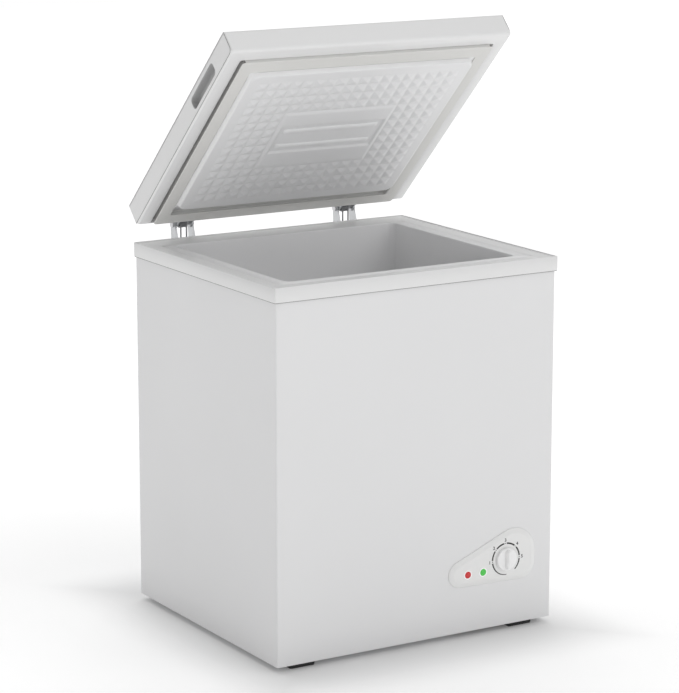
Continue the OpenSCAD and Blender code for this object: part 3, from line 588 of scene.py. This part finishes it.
def rim():
    """The rim: outer band, raised lip, gutter and border, and under it a dark sealant strip that
    also paints the shadow line under the lip.
    """
    box = (rim_hi.x, rim_lo.y, rim_hi.y)
    top, low = rim_hi.z, rim_lo.z
    border = top - 2.5 * MM
    under = border - 2.0 * MM
    side, rear = 34, 52     # widths of the rim in mm
    seal = low - 1.1 * MM
    # painted shadow: this dark strip stands for the shadow line under the rim's lip as well as a
    # sealant joint
    verts, faces = loft([ring(box, 0.9, low, 2.3), ring(box, 0.9, seal, 2.3),
                         ring(box, 3.95, seal, 3.2), ring(box, 3.95, low, 3.2)], closed=True)
    build("rim_shadow_seal", verts, faces, SHADOW_SEAL, "cabinet", 28, slot="gasket_grey")
    # side inset, height, corner radius, and the rear inset where it differs
    rows = [
        (0.7, low, 2.4), (0.2, low + 0.2 * MM, 2.8), (0, low + 0.8 * MM, 3.0),
        (0, top - 1.2 * MM, 3.0), (0.35, top - 0.35 * MM, 2.8), (1.1, top, 2.4), (2.2, top, 2.0),
        (2.8, top - 0.3 * MM, 1.8), (3.1, top - 1.0 * MM, 1.6), (3.3, border + 0.5 * MM, 1.5),
        (4.0, border, 1.5), (side - 1.6, border, 5, rear - 1.6),
        (side - 0.6, border - 0.2 * MM, 6, rear - 0.6),
        (side - 0.1, border - 0.7 * MM, 6, rear - 0.1), (side - 0.1, under, 6, rear - 0.1),
        (3.7, under, 1), (3.7, low, 1),
    ]
    rings = [ring(box, inset, z, r, rear=more[0] if more else None)
             for inset, z, r, *more in rows]
    verts, faces = loft(rings, closed=True)
    build("rim", verts, faces, RIM, "cabinet", 28, stands_for=("rim_frame",), slot="rim_white")


def tub():
    """The liner: a deep part beside the step, a shallow one over it, and the sealing flange."""
    t = 1.0 * MM
    roll = 2.6 * MM         # radius of the rolled mouth
    corner_r = 14 * MM
    tiny = 1e-5
    inner = [v.co for v in nodes["inner_liner"].data.vertices if v.co.z < liner_hi.z - 5 * MM]
    lo, hi = limits(inner)
    low = lo.z + t
    cav_x0, cav_x1, cav_y0, cav_y1 = lo.x + t, hi.x - t, lo.y + t, hi.y - t
    step_z = max(round(v.z, 5) for v in inner if low + 0.05 < v.z < liner_hi.z - 0.02)
    step_x = max(v.x for v in inner if v.z < low + 2 * MM) - t
    mouth = liner_hi.z - roll
    bm = bmesh.new()
    profile = [(cav_x0, low), (step_x, low), (step_x, step_z), (cav_x1, step_z),
               (cav_x1, mouth), (cav_x0, mouth)]
    ends = [[bm.verts.new((x, y, z)) for x, z in profile] for y in (cav_y0, cav_y1)]
    bm.faces.new(ends[0])
    bm.faces.new(ends[1][::-1])
    walls = []
    for k in range(len(profile)):
        m = (k + 1) % len(profile)
        walls.append(bm.faces.new((ends[0][k], ends[1][k], ends[1][m], ends[0][m])))
    bmesh.ops.recalc_face_normals(bm, faces=bm.faces)
    bmesh.ops.delete(bm, geom=[walls[4]], context="FACES_ONLY")     # the open mouth

    def on_step(edge):
        return all(abs(v.co.x - step_x) < tiny and abs(v.co.z - step_z) < tiny
                   for v in edge.verts)

    # the insulation stands close behind the step's outer edge, so that edge is rounded less
    sharp = [e for e in bm.edges if len(e.link_faces) == 2 and not on_step(e)]
    bmesh.ops.bevel(bm, geom=sharp, offset=corner_r, offset_type="OFFSET", segments=6,
                    profile=0.5, affect="EDGES", clamp_overlap=True)
    long_edge = [e for e in bm.edges if on_step(e) and e.calc_length() > 0.1]
    bmesh.ops.bevel(bm, geom=long_edge, offset=2.4 * MM, offset_type="OFFSET", segments=3,
                    profile=0.5, affect="EDGES", clamp_overlap=True)
    bmesh.ops.remove_doubles(bm, verts=bm.verts, dist=1e-6)
    # roll the mouth over into the sealing flange
    x0, x1, y0, y1 = (cav_x0 + corner_r, cav_x1 - corner_r, cav_y0 + corner_r,
                      cav_y1 - corner_r)

    def outward(p):
        d = p - Vector((min(max(p.x, x0), x1), min(max(p.y, y0), y1), p.z))
        return d.normalized() if d.length > 1e-9 else Vector((0, 0, 0))

    edges = [e for e in bm.edges if len(e.link_faces) == 1]
    start = {v: (v.co.copy(), outward(v.co)) for e in edges for v in e.verts}
    track = {v: v for v in start}
    for k in range(1, 6):
        a = math.radians(k * 18)
        made = bmesh.ops.extrude_edge_only(bm, edges=edges)["geom"]
        nxt = {}
        # each new vertex starts exactly on the old one that it was made from
        old_at = {tuple(round(c, 7) for c in v.co): root for v, root in track.items()}
        for v in made:
            if isinstance(v, bmesh.types.BMVert):
                root = old_at[tuple(round(c, 7) for c in v.co)]
                at, d = start[root]
                v.co = (Vector((at.x, at.y, mouth)) + d * (roll * (1 - math.cos(a)))
                        + Vector((0, 0, roll * math.sin(a))))
                nxt[v] = root
        track = nxt
        edges = [e for e in made
                 if isinstance(e, bmesh.types.BMEdge) and all(v in nxt for v in e.verts)]

    def reach(p, d, lo, hi):
        """How far p can go along d before it leaves lo to hi."""
        if abs(d) < 1e-6:
            return 1e9
        return ((hi if d > 0 else lo) - p) / d

    for v in bmesh.ops.extrude_edge_only(bm, edges=edges)["geom"]:
        if isinstance(v, bmesh.types.BMVert):
            p, d = v.co, outward(v.co)
            far = min(reach(p.x, d.x, liner_lo.x, liner_hi.x),
                      reach(p.y, d.y, liner_lo.y, liner_hi.y))
            v.co = Vector((p.x + d.x * far, p.y + d.y * far, liner_hi.z))
    me = bpy.data.meshes.new("tub")
    bm.to_mesh(me)
    bm.free()
    o = finish_mesh("tub", me, LINER, "cabinet", 35, stands_for=("inner_liner",),
                    slot="liner_white")
    # the normals point into the cavity, so the sheet's thickness goes outwards
    if min(me.polygons, key=lambda f: f.center.z).normal.z < 0:
        me.flip_normals()
    thicken(o, 0.9, even=True)


cabinet_wrap()
rim()
tub()

# ---------------------------------------------------------------- lid

FLANGE_W = 29       # mm from the lid's side to the gasket's channel


def lid_ring(inset, z, r, front=None, rear=None):
    return ring((lid_x, lid_y0, lid_y1), inset, z, r, front, rear, 8)


def lid_core():
    """White plastic frame: flange, rolled lower edge, and the side walls under the sheet."""
    z, deep = lid_z0, lid_z0 + 6 * MM
    rear = 4            # width of the flange behind, in mm
    rings = [
        lid_ring(FLANGE_W + 2, deep, 4, None, rear + 1),
        lid_ring(FLANGE_W + 0.2, deep, 4, None, rear),
        lid_ring(FLANGE_W, z + 1.0 * MM, 4, None, rear),
        lid_ring(FLANGE_W - 0.4, z + 0.3 * MM, 4, None, rear - 0.3),
        lid_ring(FLANGE_W - 1.2, z, 4, None, rear - 1.0),
    ]
    side_r, front_r = 3.0, 6.0
    for k in range(9):
        a = math.radians(90 * k / 8)
        side = 0.6 + side_r * (1 - math.sin(a))
        rings.append(lid_ring(side, z + front_r * (1 - math.cos(a)) * MM, 3.5,
                              front_r * (1 - math.sin(a)), side * 0.8))
    rings += [
        lid_ring(0.6, lid_z1 - 4 * MM, 3.5, 0, 0.5),
        lid_ring(0.6, lid_z1 - 1.2 * MM, 3.5, 0, 0.5),
        lid_ring(0.9, lid_z1 - 0.8 * MM, 3.2, 0.3, 0.8),
        lid_ring(3.0, lid_z1 - 0.8 * MM, 2.0),
        lid_ring(3.0, deep + 2 * MM, 2.0),
    ]
    verts, faces = loft(rings, closed=True)

    def behind_sheet(face):
        """The tall side walls, which the side sheets cover and the finger cups pass."""
        points = [verts[k] for k in face]
        lo, hi = limits(points)
        return (all(abs(p.x) > lid_x - 5 * MM for p in points) and hi.y - lo.y > 0.3
                and hi.z > z + 12 * MM)

    build("lid_core", verts, [f for f in faces if not behind_sheet(f)], FLANGE, "lid", 30,
          stands_for=("lid_frame",), slot="rim_white")


def side_outline(grow=0.0):
    """The side sheet's outline in (y, z): square except for its round lower front corner."""
    steps = 8
    y0, y1 = lid_y0 + 2.0 * MM - grow, lid_y1
    z0, z1 = lid_z0 + 4.6 * MM - grow, lid_z1
    r = 9 * MM + grow
    pts = [(y1, z0), (y1, z1), (y0, z1)]
    for k in range(steps + 1):
        a = math.radians(180 + 90 * k / steps)
        pts.append((y0 + r + r * math.cos(a), z0 + r + r * math.sin(a)))
    return pts


def plate(name, outer, hole, x_in, x_out, material, slot):
    """A plate between x_in and x_out with an outline and a hole, both in (y, z)."""
    parts = [fill([[(x, y, z) for y, z in loop] for loop in (outer, hole)])
             for x in (x_in, x_out)]
    for loop in (outer, hole):
        parts.append(loft([[Vector((x, y, z)) for y, z in loop] for x in (x_in, x_out)]))
    o = build(name, *merge(parts), material, "lid", 30, slot=slot)
    weld(o, 30)


# the finger cups' openings in (y, z): the side sheets end at them and the cups start there
CUP_WALL = 1.5 * MM
cup_y0, cup_y1 = cup_lo.y + CUP_WALL, cup_hi.y - CUP_WALL
cup_z0, cup_z1 = cup_lo.z + CUP_WALL, cup_hi.z - CUP_WALL


def lid_sheet():
    """The painted sheet: top with rolled edges, rear skirt, and a plate on each side."""
    hole = rounded(cup_y0, cup_y1, cup_z0, cup_z1, 9 * MM)
    outer, gap = side_outline(), side_outline(0.9 * MM)
    for side, name in ((-1, "left"), (1, "right")):
        plate("lid_side_sheet_" + name, outer, hole, side * (lid_x - 0.75 * MM), side * lid_x,
              LID_PAINT, "panel_white")
        # painted shadow: a dark sealant strip along each side sheet's edge stands for the shade in
        # the seam
        plate("lid_seam_shadow_" + name, gap, outer, side * (lid_x - 0.7 * MM),
              side * (lid_x - 0.45 * MM), SEAM_SHADOW, "gasket_grey")
    # inset, distance below the lid's top, corner radius
    rows = [(0, 3.2, 3.5), (0, 2.2, 3.5), (0.3, 1.1, 3.4), (1.1, 0.3, 3.0), (2.2, 0, 2.6),
            (40, 0, 22), (120, 0, 60)]
    verts, faces = loft([lid_ring(inset, lid_z1 - drop * MM, r) for inset, drop, r in rows],
                        cap_last=True)
    top = build("lid_top_sheet", verts, faces, LID_PAINT, "lid", 40, stands_for=("lid_shell",),
                slot="panel_white")
    thicken(top, 0.7)
    verts, faces = bar(lid_x - 1.0 * MM, lid_y1 - 0.45 * MM, lid_y1, lid_z0 + 4.6 * MM,
                       lid_z1 - 3.0 * MM)
    build("lid_rear_skirt", verts, faces, LID_PAINT, "lid", 30, slot="panel_white")


def lid_foam():
    """The lid's filling, clear of the sheets, the tray and the finger cups."""
    in_tray = (gasket_hi.x - 28 * MM, gasket_lo.y + 28 * MM, plug_hi.y)
    in_lid = (lid_x - 21 * MM, lid_y0, lid_y1)
    waist = lid_z0 + 9 * MM
    verts, faces = loft([ring(in_tray, 6, gasket_lo.z + 1 * MM, 12), ring(in_tray, 6, waist, 12),
                         ring(in_lid, 0, waist, 6, 6, 6),
                         ring(in_lid, 0, lid_z1 - 1.6 * MM, 6, 6, 6)],
                        cap_first=True, cap_last=True)
    build("lid_foam", verts, faces, FOAM, "lid", 30, stands_for=("lid_insulation",), slot="foam")


def handle_cups():
    """Moulded finger cups with a rounded mouth and a rounded floor."""
    deep = (cup_hi.x - cup_lo.x) / MM - 0.3
    # inset, depth, corner radius
    rows = [(0, 0.2, 9.0), (0.5, 1.0, 8.6), (0.9, 3.0, 8.2), (1.6, deep - 5.0, 7.8),
            (2.4, deep - 2.4, 7.2), (4.2, deep - 0.8, 5.6), (6.5, deep - 0.3, 4.0)]
    for side, name in ((-1, "left"), (1, "right")):
        rings = []
        for inset, depth, r in rows:
            i, x = inset * MM, side * (lid_x - depth * MM)
            rings.append([Vector((x, y, z)) for y, z in
                          rounded(cup_y0 + i, cup_y1 - i, cup_z0 + i, cup_z1 - i, r * MM)])
        verts, faces = loft(rings, cap_last=True)
        o = build("handle_cup_" + name + "_moulded", verts, faces, CUP, "lid", 50,
                  stands_for=("handle_cup_" + name,), slot="plastic_grey")
        thicken(o, 1.0, 0)


def gasket():
    """Beige sealing face on bellows, in the channel between flange and tray; the outer bellows'
    dark grey is painted shade for the groove.
    """
    box = (gasket_hi.x, gasket_lo.y, gasket_hi.y)
    face, root = gasket_lo.z, gasket_hi.z
    w = 27.5            # its width in mm

    def band(inset, z, r):
        """A loop of the gasket, whose outer half stands 3.3 mm further out at the front."""
        return ring(box, inset, z, r, inset - 3.3 if inset < w / 2 else None, None, 8)

    # inset, distance behind the face, corner radius
    rows = [(0.5, 2.2, 6), (0, 1.5, 6.5), (0.1, 0.7, 6.5), (0.8, 0.1, 6), (2.0, 0, 5.5),
            (w - 2.0, 0, 4), (w - 0.8, 0.1, 4), (w - 0.1, 0.7, 4), (w, 1.5, 4),
            (w - 0.5, 2.2, 4)]
    verts, faces = loft([band(inset, face + rise * MM, r) for inset, rise, r in rows],
                        closed=True)
    build("gasket_face", verts, faces, GASKET, "lid", 35, slot="gasket_grey")
    z = face + 2.0 * MM
    folds = (1.6, 3.2, 1.8, 3.4, 2.2)
    # the outer bellows carry the groove's painted shade, the inner ones the lip's own colour
    for name, insets, wall, material, stands_for in (
        ("outer", folds, 1.2, SHADED_BELLOWS, ("lid_gasket",)),
        ("inner", [w - fold for fold in folds], -1.2, LIP, ()),
    ):
        rows = [(inset, z + (root - z) * k / 4) for k, inset in enumerate(insets)]
        rings = [band(inset, high, 5) for inset, high in rows]
        rings += [band(inset + wall, high, 5) for inset, high in reversed(rows)]
        verts, faces = loft(rings, closed=True)
        build("gasket_bellows_" + name, verts, faces, material, "lid", 35,
              stands_for=stands_for, slot="gasket_grey")
    # the fin that covers the bellows along the front
    verts, faces = bar(gasket_hi.x - 7 * MM, gasket_lo.y - 3.1 * MM, gasket_lo.y - 2.3 * MM,
                       face + 1.8 * MM, root - 0.6 * MM)
    build("gasket_fin", verts, faces, LIP, "lid", 35, slot="gasket_grey")


lid_core()
lid_sheet()
lid_foam()
handle_cups()
gasket()

# ---------------------------------------------------------------- quilted tray


def smooth_step(t):
    t = min(max(t, 0.0), 1.0)
    return t * t * (3 - 2 * t)


def tray():
    """The inner panel: channel floor, drafted wall, plain border, quilt, raised middle."""
    m = MM
    channel = gasket_hi.z
    foot_x, foot_y0, foot_y1 = plug_hi.x, plug_lo.y, plug_hi.y
    face = gasket_lo.z - 8 * m
    draft = 3.0 * m
    wall_low = gasket_lo.z + 1.5 * m
    border = 21 * m
    face_x = foot_x - draft
    face_y0, face_y1 = foot_y0 + draft, foot_y1 - draft
    cells_x, cells_y = 18, 15
    mid_cells = 4       # cells of the quilt between its edge and the raised middle
    quilt_x = face_x - border
    quilt_y0, quilt_y1 = face_y0 + border, face_y1 - border
    px, py = 2 * quilt_x / cells_x, (quilt_y1 - quilt_y0) / cells_y
    mid_x = quilt_x - mid_cells * px
    mid_y0, mid_y1 = quilt_y0 + mid_cells * py, quilt_y1 - mid_cells * py
    # the sunk window in the middle, with two ribs
    win_x = mid_x - 8 * m
    win_y0, win_y1 = mid_y0 + 42 * m, mid_y1 - 50 * m
    rib_half, rib_end = 6.5 * m, mid_x - 20 * m
    ribs = [win_y0 + 19 * m, win_y1 - 19 * m]

    def depth(x, y):
        """How far the surface stands out from the tray's face, towards the cavity."""
        r = 16 * m
        qx = abs(x) - (face_x - r)
        cy, hy = (face_y0 + face_y1) / 2, (face_y1 - face_y0) / 2
        qy = abs(y - cy) - (hy - r)
        outside = math.hypot(max(qx, 0), max(qy, 0)) + min(max(qx, qy), 0) - r
        h = 0.0
        if outside > -3.0 * m:
            h -= 1.0 * m * min((outside + 3.0 * m) / (3.0 * m), 1) ** 2
        if outside > 0:
            h -= min(outside / draft, 1.0) * (wall_low - face - 1.0 * m)
        if abs(x) < mid_x and mid_y0 < y < mid_y1:
            d = min(mid_x - abs(x), y - mid_y0, mid_y1 - y)
            h += 2.4 * m * math.sin(min(d / (9 * m), 1.0) * math.pi / 2)
            if abs(x) < win_x and win_y0 < y < win_y1:
                e = min(win_x - abs(x), y - win_y0, win_y1 - y)
                h -= 3.0 * m * smooth_step(e / (3.5 * m))
                end = min((rib_end - abs(x)) / (6 * m), 1.0)
                k = min(abs(y - c) for c in ribs) / rib_half
                if k < 1 and end > 0:
                    h += 3.2 * m * math.sqrt(1 - k * k) * math.sqrt(end)
        elif abs(x) < quilt_x and quilt_y0 < y < quilt_y1:
            # square pyramids with blunt tops
            u = ((x + quilt_x) / px) % 1.0 * 2 - 1
            v = ((y - quilt_y0) / py) % 1.0 * 2 - 1
            k = 1 - max(abs(u), abs(v))
            soft = k - 0.12 * math.exp(-((1 - k) / 0.18) ** 2)
            h += 3.4 * m * soft - 0.6 * m
        return h

    def lines(lo, hi, foot_lo, foot_hi, q_lo, q_hi, cells, marks=()):
        """Where the grid has points: close at the walls, 12 to a cell, and at the marks."""
        out = [lo, foot_lo - 0.4 * m, foot_hi + 0.4 * m, hi]
        out += [foot_lo + k * 0.75 * m for k in range(9)]
        out += [foot_hi - k * 0.75 * m for k in range(9)]
        a, b = foot_lo + 6.8 * m, foot_hi - 6.8 * m
        plain, per = 5, 12
        out += [a + (q_lo - a) * k / plain for k in range(plain)]
        out += [q_hi + (b - q_hi) * (k + 1) / plain for k in range(plain)]
        out += [q_lo + (q_hi - q_lo) * k / (cells * per) for k in range(cells * per + 1)]
        for mark in marks:
            out += [mark - 1.1 * m, mark, mark + 1.1 * m]
        out.sort()
        kept = out[:1]
        for v in out:
            if v - kept[-1] > 0.25 * m:
                kept.append(v)
        return kept

    xs = lines(-tray_hi.x, tray_hi.x, -foot_x, foot_x, -quilt_x, quilt_x, cells_x)
    ys = lines(tray_lo.y, tray_hi.y, foot_y0, foot_y1, quilt_y0, quilt_y1, cells_y,
               [c + s * rib_half for c in ribs for s in (-1, 1)])
    verts, faces = [], []
    for y in ys:
        for x in xs:
            out = max(abs(x) - foot_x, foot_y0 - y, y - foot_y1)
            z = channel if out > 0.1 * m else min(face - depth(x, y), wall_low)
            verts.append(Vector((x, y, z)))
    n = len(xs)
    for j in range(len(ys) - 1):
        for i in range(n - 1):
            a = j * n + i
            faces.append((a, a + 1, a + n + 1, a + n))
    o = build("lid_tray", verts, faces, TRAY, "lid", 70, stands_for=("lid_inner_panel",),
              slot="liner_white")
    thicken(o, 0.8)
    if sum(p.normal.z * p.area for p in o.data.polygons) > 0:
        o.data.flip_normals()


tray()

# ---------------------------------------------------------------- control panel


def hull_outline(circles):
    """The outline round several circles, anticlockwise in (x, z)."""
    pts = [p for cx, cz, r in circles for p in circle(cx, cz, r, 96)]
    pts = sorted(set((round(a, 7), round(b, 7)) for a, b in pts))

    def half(source):
        out = []
        for p in source:
            while len(out) > 1 and (
                (out[-1][0] - out[-2][0]) * (p[1] - out[-2][1])
                - (out[-1][1] - out[-2][1]) * (p[0] - out[-2][0])
            ) <= 0:
                out.pop()
            out.append(p)
        return out[:-1]

    return half(pts) + half(pts[::-1])


def resample(loop, n):
    """The loop again with n points at even distances."""
    total = [0.0]
    for k in range(len(loop)):
        total.append(total[-1] + math.dist(loop[k], loop[(k + 1) % len(loop)]))
    out, k = [], 0
    for i in range(n):
        t = total[-1] * i / n
        while total[k + 1] < t:
            k += 1
        a, b = loop[k], loop[(k + 1) % len(loop)]
        f = (t - total[k]) / max(total[k + 1] - total[k], 1e-12)
        out.append((a[0] + (b[0] - a[0]) * f, a[1] + (b[1] - a[1]) * f))
    return out


def offset_loop(loop, d):
    """The loop moved inwards by d, keeping its point count."""
    out = []
    for k, (x, z) in enumerate(loop):
        a, b = loop[k - 1], loop[(k + 1) % len(loop)]
        tx, tz = b[0] - a[0], b[1] - a[1]
        length = math.hypot(tx, tz)
        out.append((x - tz / length * d, z + tx / length * d))
    return out


def control_panel():
    """The bezel: thin edge, sloping flange, flat face with three round openings."""
    # the outline goes round three circles: centre from the panel's left and the base, radius
    discs = [(26, 118, 26), (151, 144, 50), (168, 122, 33)]
    loop = resample(hull_outline([(bezel_lo.x + x * MM, base_z + z * MM, r * MM)
                                  for x, z, r in discs]), 180)
    hole_r = 9.0
    # inset, height over the front
    rows = [(0, 0), (0, 1), (0.35, 1.7), (1, 2.2), (5.5, 3.6), (8.6, 4.55), (9.6, 4.9), (10.8, 5)]
    rings = [[Vector((x, front_y - high * MM, z)) for x, z in offset_loop(loop, inset * MM)]
             for inset, high in rows]
    loops = [[(v.x, v.z) for v in rings[-1]]]
    loops += [circle(x, z, hole_r * MM, 40)
              for x, z in [lamp[:2] for lamp in lamps] + [(knob_x, knob_z)]]
    y = bezel_lo.y
    flat = fill([[(x, y, z) for x, z in points] for points in loops])
    # the plain sleeve round the knob's bush
    verts, faces = lathe([(hole_r, 0), (8.7, -0.3), (8.7, -3)], 40)
    sleeve = (to_front(verts, knob_x, y, knob_z), faces)
    verts, faces = merge([loft(rings), flat, sleeve])
    o = build("bezel", verts, faces, BEZEL, "cabinet", 32, stands_for=("control_panel",),
              slot="bezel_white")
    weld(o, 32)


def lamp_pieces():
    """A dished ring and a domed lens for each lamp."""
    r, y = lamp_radius, bezel_lo.y
    collar = [(9.0, -1.0), (9.0, 0.1), (8.9, 0.35), (8.5, 0.5), (r + 0.8, 0.5), (r + 0.35, 0.2),
              (r + 0.25, -0.4), (r + 0.2, -3.5)]
    dome = [(r, -4.0), (r, -0.5), (r - 0.15, 0.0), (r - 0.6, 0.45), (r - 1.6, 0.8), (3.0, 1.0),
            (1.5, 1.08), (0.0001, 1.1)]
    for (x, z, node), material, slot in zip(lamps, (RED, GREEN), ("lens_red", "lens_green")):
        # the ring carries a painted glow round the lens
        verts, faces = lathe(collar, 40)
        build(node + "_ring", to_front(verts, x, y, z), faces, GLOWING_RING, "cabinet", 40,
              slot="bezel_white")
        verts, faces = lathe(dome, 40)
        build(node + "_domed", to_front(verts, x, y, z), faces, material, "cabinet", 40,
              stands_for=(node,), slot=slot)


def knob():
    """Round knob with a soft edge and a raised grip across its face."""
    r, y = 23.0, knob_hi.y
    disc = [(8.0, 0.2), (r - 0.7, 0.0), (r - 0.15, 0.3), (r, 0.9), (r, 3.4), (r - 0.3, 4.4),
            (r - 1.0, 5.1), (r - 2.2, 5.5), (r - 4.5, 5.65), (12.0, 5.7), (6.0, 5.7), (0.0001, 5.7)]
    verts, faces = lathe(disc, 72)
    build("knob_disc", to_front(verts, knob_x, y, knob_z), faces, KNOB, "dial", 35,
          stands_for=("control_knob",), slot="bezel_white")
    # grip: a waisted bar, rounded on top, along Z
    length = 2 * (r - 3.4)
    stations, arc = 28, 14
    verts, faces = [], []
    for i in range(stations + 1):
        t = i / stations * 2 - 1
        taper = max(math.sqrt(max(0.0, 1 - abs(t) ** 7)), 0.02)
        half = (4.4 + 1.7 * t * t) * taper
        high = 8.2 * taper ** 0.5
        for k in range(arc + 1):
            a = math.pi * k / arc
            x = half * math.cos(a) * (1.0 + 0.12 * math.sin(a))
            h = 5.4 + high * math.sin(a) ** 0.62
            verts.append(Vector((x * MM, t * length / 2 * MM, h * MM)))
    row = arc + 1
    for i in range(stations):
        for k in range(arc):
            a = i * row + k
            faces.append((a, a + 1, a + row + 1, a + row))
    faces.append(tuple(range(row)))
    faces.append(tuple(stations * row + k for k in range(row)))
    build("knob_grip", to_front(verts, knob_x, y, knob_z), faces, KNOB, "dial", 50,
          slot="bezel_white")


def dial_marks():
    """Broken ring round the knob, a dot at each step and the numerals 1 to 5."""
    steps = [184, 138, 92, 46, 0]
    ring_r, numeral_r, gap, lift = 31.5, 38, 5.2, 0.12
    # arcs: first and last angle, first and last half width in mm
    arcs = [(273, steps[0] + gap, 0.6, 1.5)]
    arcs += [(a - gap, b + gap, 1.5, 1.5) for a, b in zip(steps, steps[1:])]
    arcs.append((steps[-1] - gap, -48, 1.5, 1.1))
    parts = []
    for a0, a1, w0, w1 in arcs:
        n = max(4, int(abs(a0 - a1) / 3))
        rings = []
        for k in range(n + 1):
            a = math.radians(a0 + (a1 - a0) * k / n)
            w = w0 + (w1 - w0) * k / n
            rings.append([Vector((r * MM * math.cos(a), r * MM * math.sin(a), h * MM))
                          for r, h in ((ring_r - w, 0), (ring_r - w, lift),
                                       (ring_r + w, lift), (ring_r + w, 0))])
        parts.append(loft(rings, cap_first=True, cap_last=True))
    for step in steps:
        a = math.radians(step)
        dot, faces = lathe([(1.0, 0), (1.0, lift), (0.0001, lift)], 16)
        at = Vector((ring_r * MM * math.cos(a), ring_r * MM * math.sin(a), 0))
        parts.append(([p + at for p in dot], faces))
    verts, faces = merge(parts)
    build("dial_ring", to_front(verts, knob_x, bezel_lo.y, knob_z), faces, INK, "cabinet", 30,
          slot="plastic_black")
    for number, step in zip("12345", steps):
        curve = bpy.data.curves.new("numeral", "FONT")
        curve.body = number
        curve.size = 9.0 * MM
        curve.offset = 0.2 * MM
        curve.extrude = 0.05 * MM
        curve.align_x = curve.align_y = "CENTER"
        text = place("numeral", curve)
        depsgraph = bpy.context.evaluated_depsgraph_get()
        me = bpy.data.meshes.new_from_object(text.evaluated_get(depsgraph))
        bpy.data.objects.remove(text)
        a = math.radians(step)
        x, z = knob_x + numeral_r * MM * math.cos(a), knob_z + numeral_r * MM * math.sin(a)
        for v in me.vertices:
            v.co = Vector((x + v.co.x, bezel_lo.y - 0.05 * MM - v.co.z, z + v.co.y))
        finish_mesh("numeral_" + number, me, GREY_INK, "cabinet", 30, slot="plastic_black")


control_panel()
lamp_pieces()
knob()
dial_marks()

# ---------------------------------------------------------------- feet


def feet():
    """Four low tapered feet with soft corners and a hollow for the screw."""
    lo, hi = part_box("feet")
    half_x, half_y, top = 28.5, 23, hi.z / MM
    hole = 5.4
    # half width, half depth, corner radius and height, all in mm; the last rows are round
    rows = [(half_x - inset, half_y - inset, r, z) for inset, r, z in (
        (0, 4, top), (0.2, 4, top - 1.2), (1.8, 4, 1.2), (2.1, 3.6, 0.4), (2.8, 3, 0), (9, 3, 0))]
    rows += [(r, r, r, z) for r, z in ((hole + 0.2, 0), (hole, 0.4), (hole, 5), (2.3, 5))]
    parts = []
    for x in (lo.x + half_x * MM, hi.x - half_x * MM):
        for y in (lo.y + half_y * MM, hi.y - half_y * MM):
            parts.append(loft([level(rounded(x - w * MM, x + w * MM, y - d * MM, y + d * MM,
                                             r * MM, 5), z * MM) for w, d, r, z in rows]))
    build("feet_moulded", *merge(parts), BLACK, "cabinet", 35, stands_for=("feet",),
          slot="plastic_black")


feet()

# ---------------------------------------------------------------- CAD nodes that stay


def keep(names, material, bevel=0.0):
    """Gives CAD nodes a material and, where bevel is set, edges rounded by so many mm."""
    for name in names.split():
        o = nodes[name]
        o.data.materials.clear()
        o.data.materials.append(material)
        if bevel:
            b = o.modifiers.new("edges", "BEVEL")
            b.width = bevel * MM
            b.segments = 2
            b.limit_method = "ANGLE"
            b.angle_limit = math.radians(50)


keep("back_panel base_pan compartment_bulkhead", ZINC)
keep("compressor_base_plate", DARK, 0.3)
keep("cabinet_insulation", FOAM)
keep("evaporator_coil", ALU)
keep("condenser_coil", DARK)
keep("suction_line discharge_line liquid_line filter_drier capillary_tube", COPPER)
keep("compressor_lower_shell compressor_upper_shell compressor_foot_plate", COMPRESSOR, 0.6)
keep("compressor_motor", CAST)
keep("compressor_suspension hinge_spring_left hinge_spring_right", SPRING)
keep("compressor_grommets cord_gland drain_plug", RUBBER, 0.6)
keep("compressor_bolts rear_grille_screws foot_screws hinge_bracket_screws hinge_leaf_screws",
     SCREW, 0.4)
keep("thermostat_shaft hinge_pin_left hinge_pin_right", SCREW, 0.4)
keep("terminal_cover lamp_holders", BLACK, 0.6)
keep("rear_grille thermostat_body", GREY, 0.4)
keep("side_vent_grille", RIM, 0.4)
keep("control_wiring", RUBBER)
keep("drain_tube drain_cap", LINER, 0.5)
keep("hinge_bracket_left hinge_bracket_right hinge_leaf_left hinge_leaf_right", STEEL, 0.5)
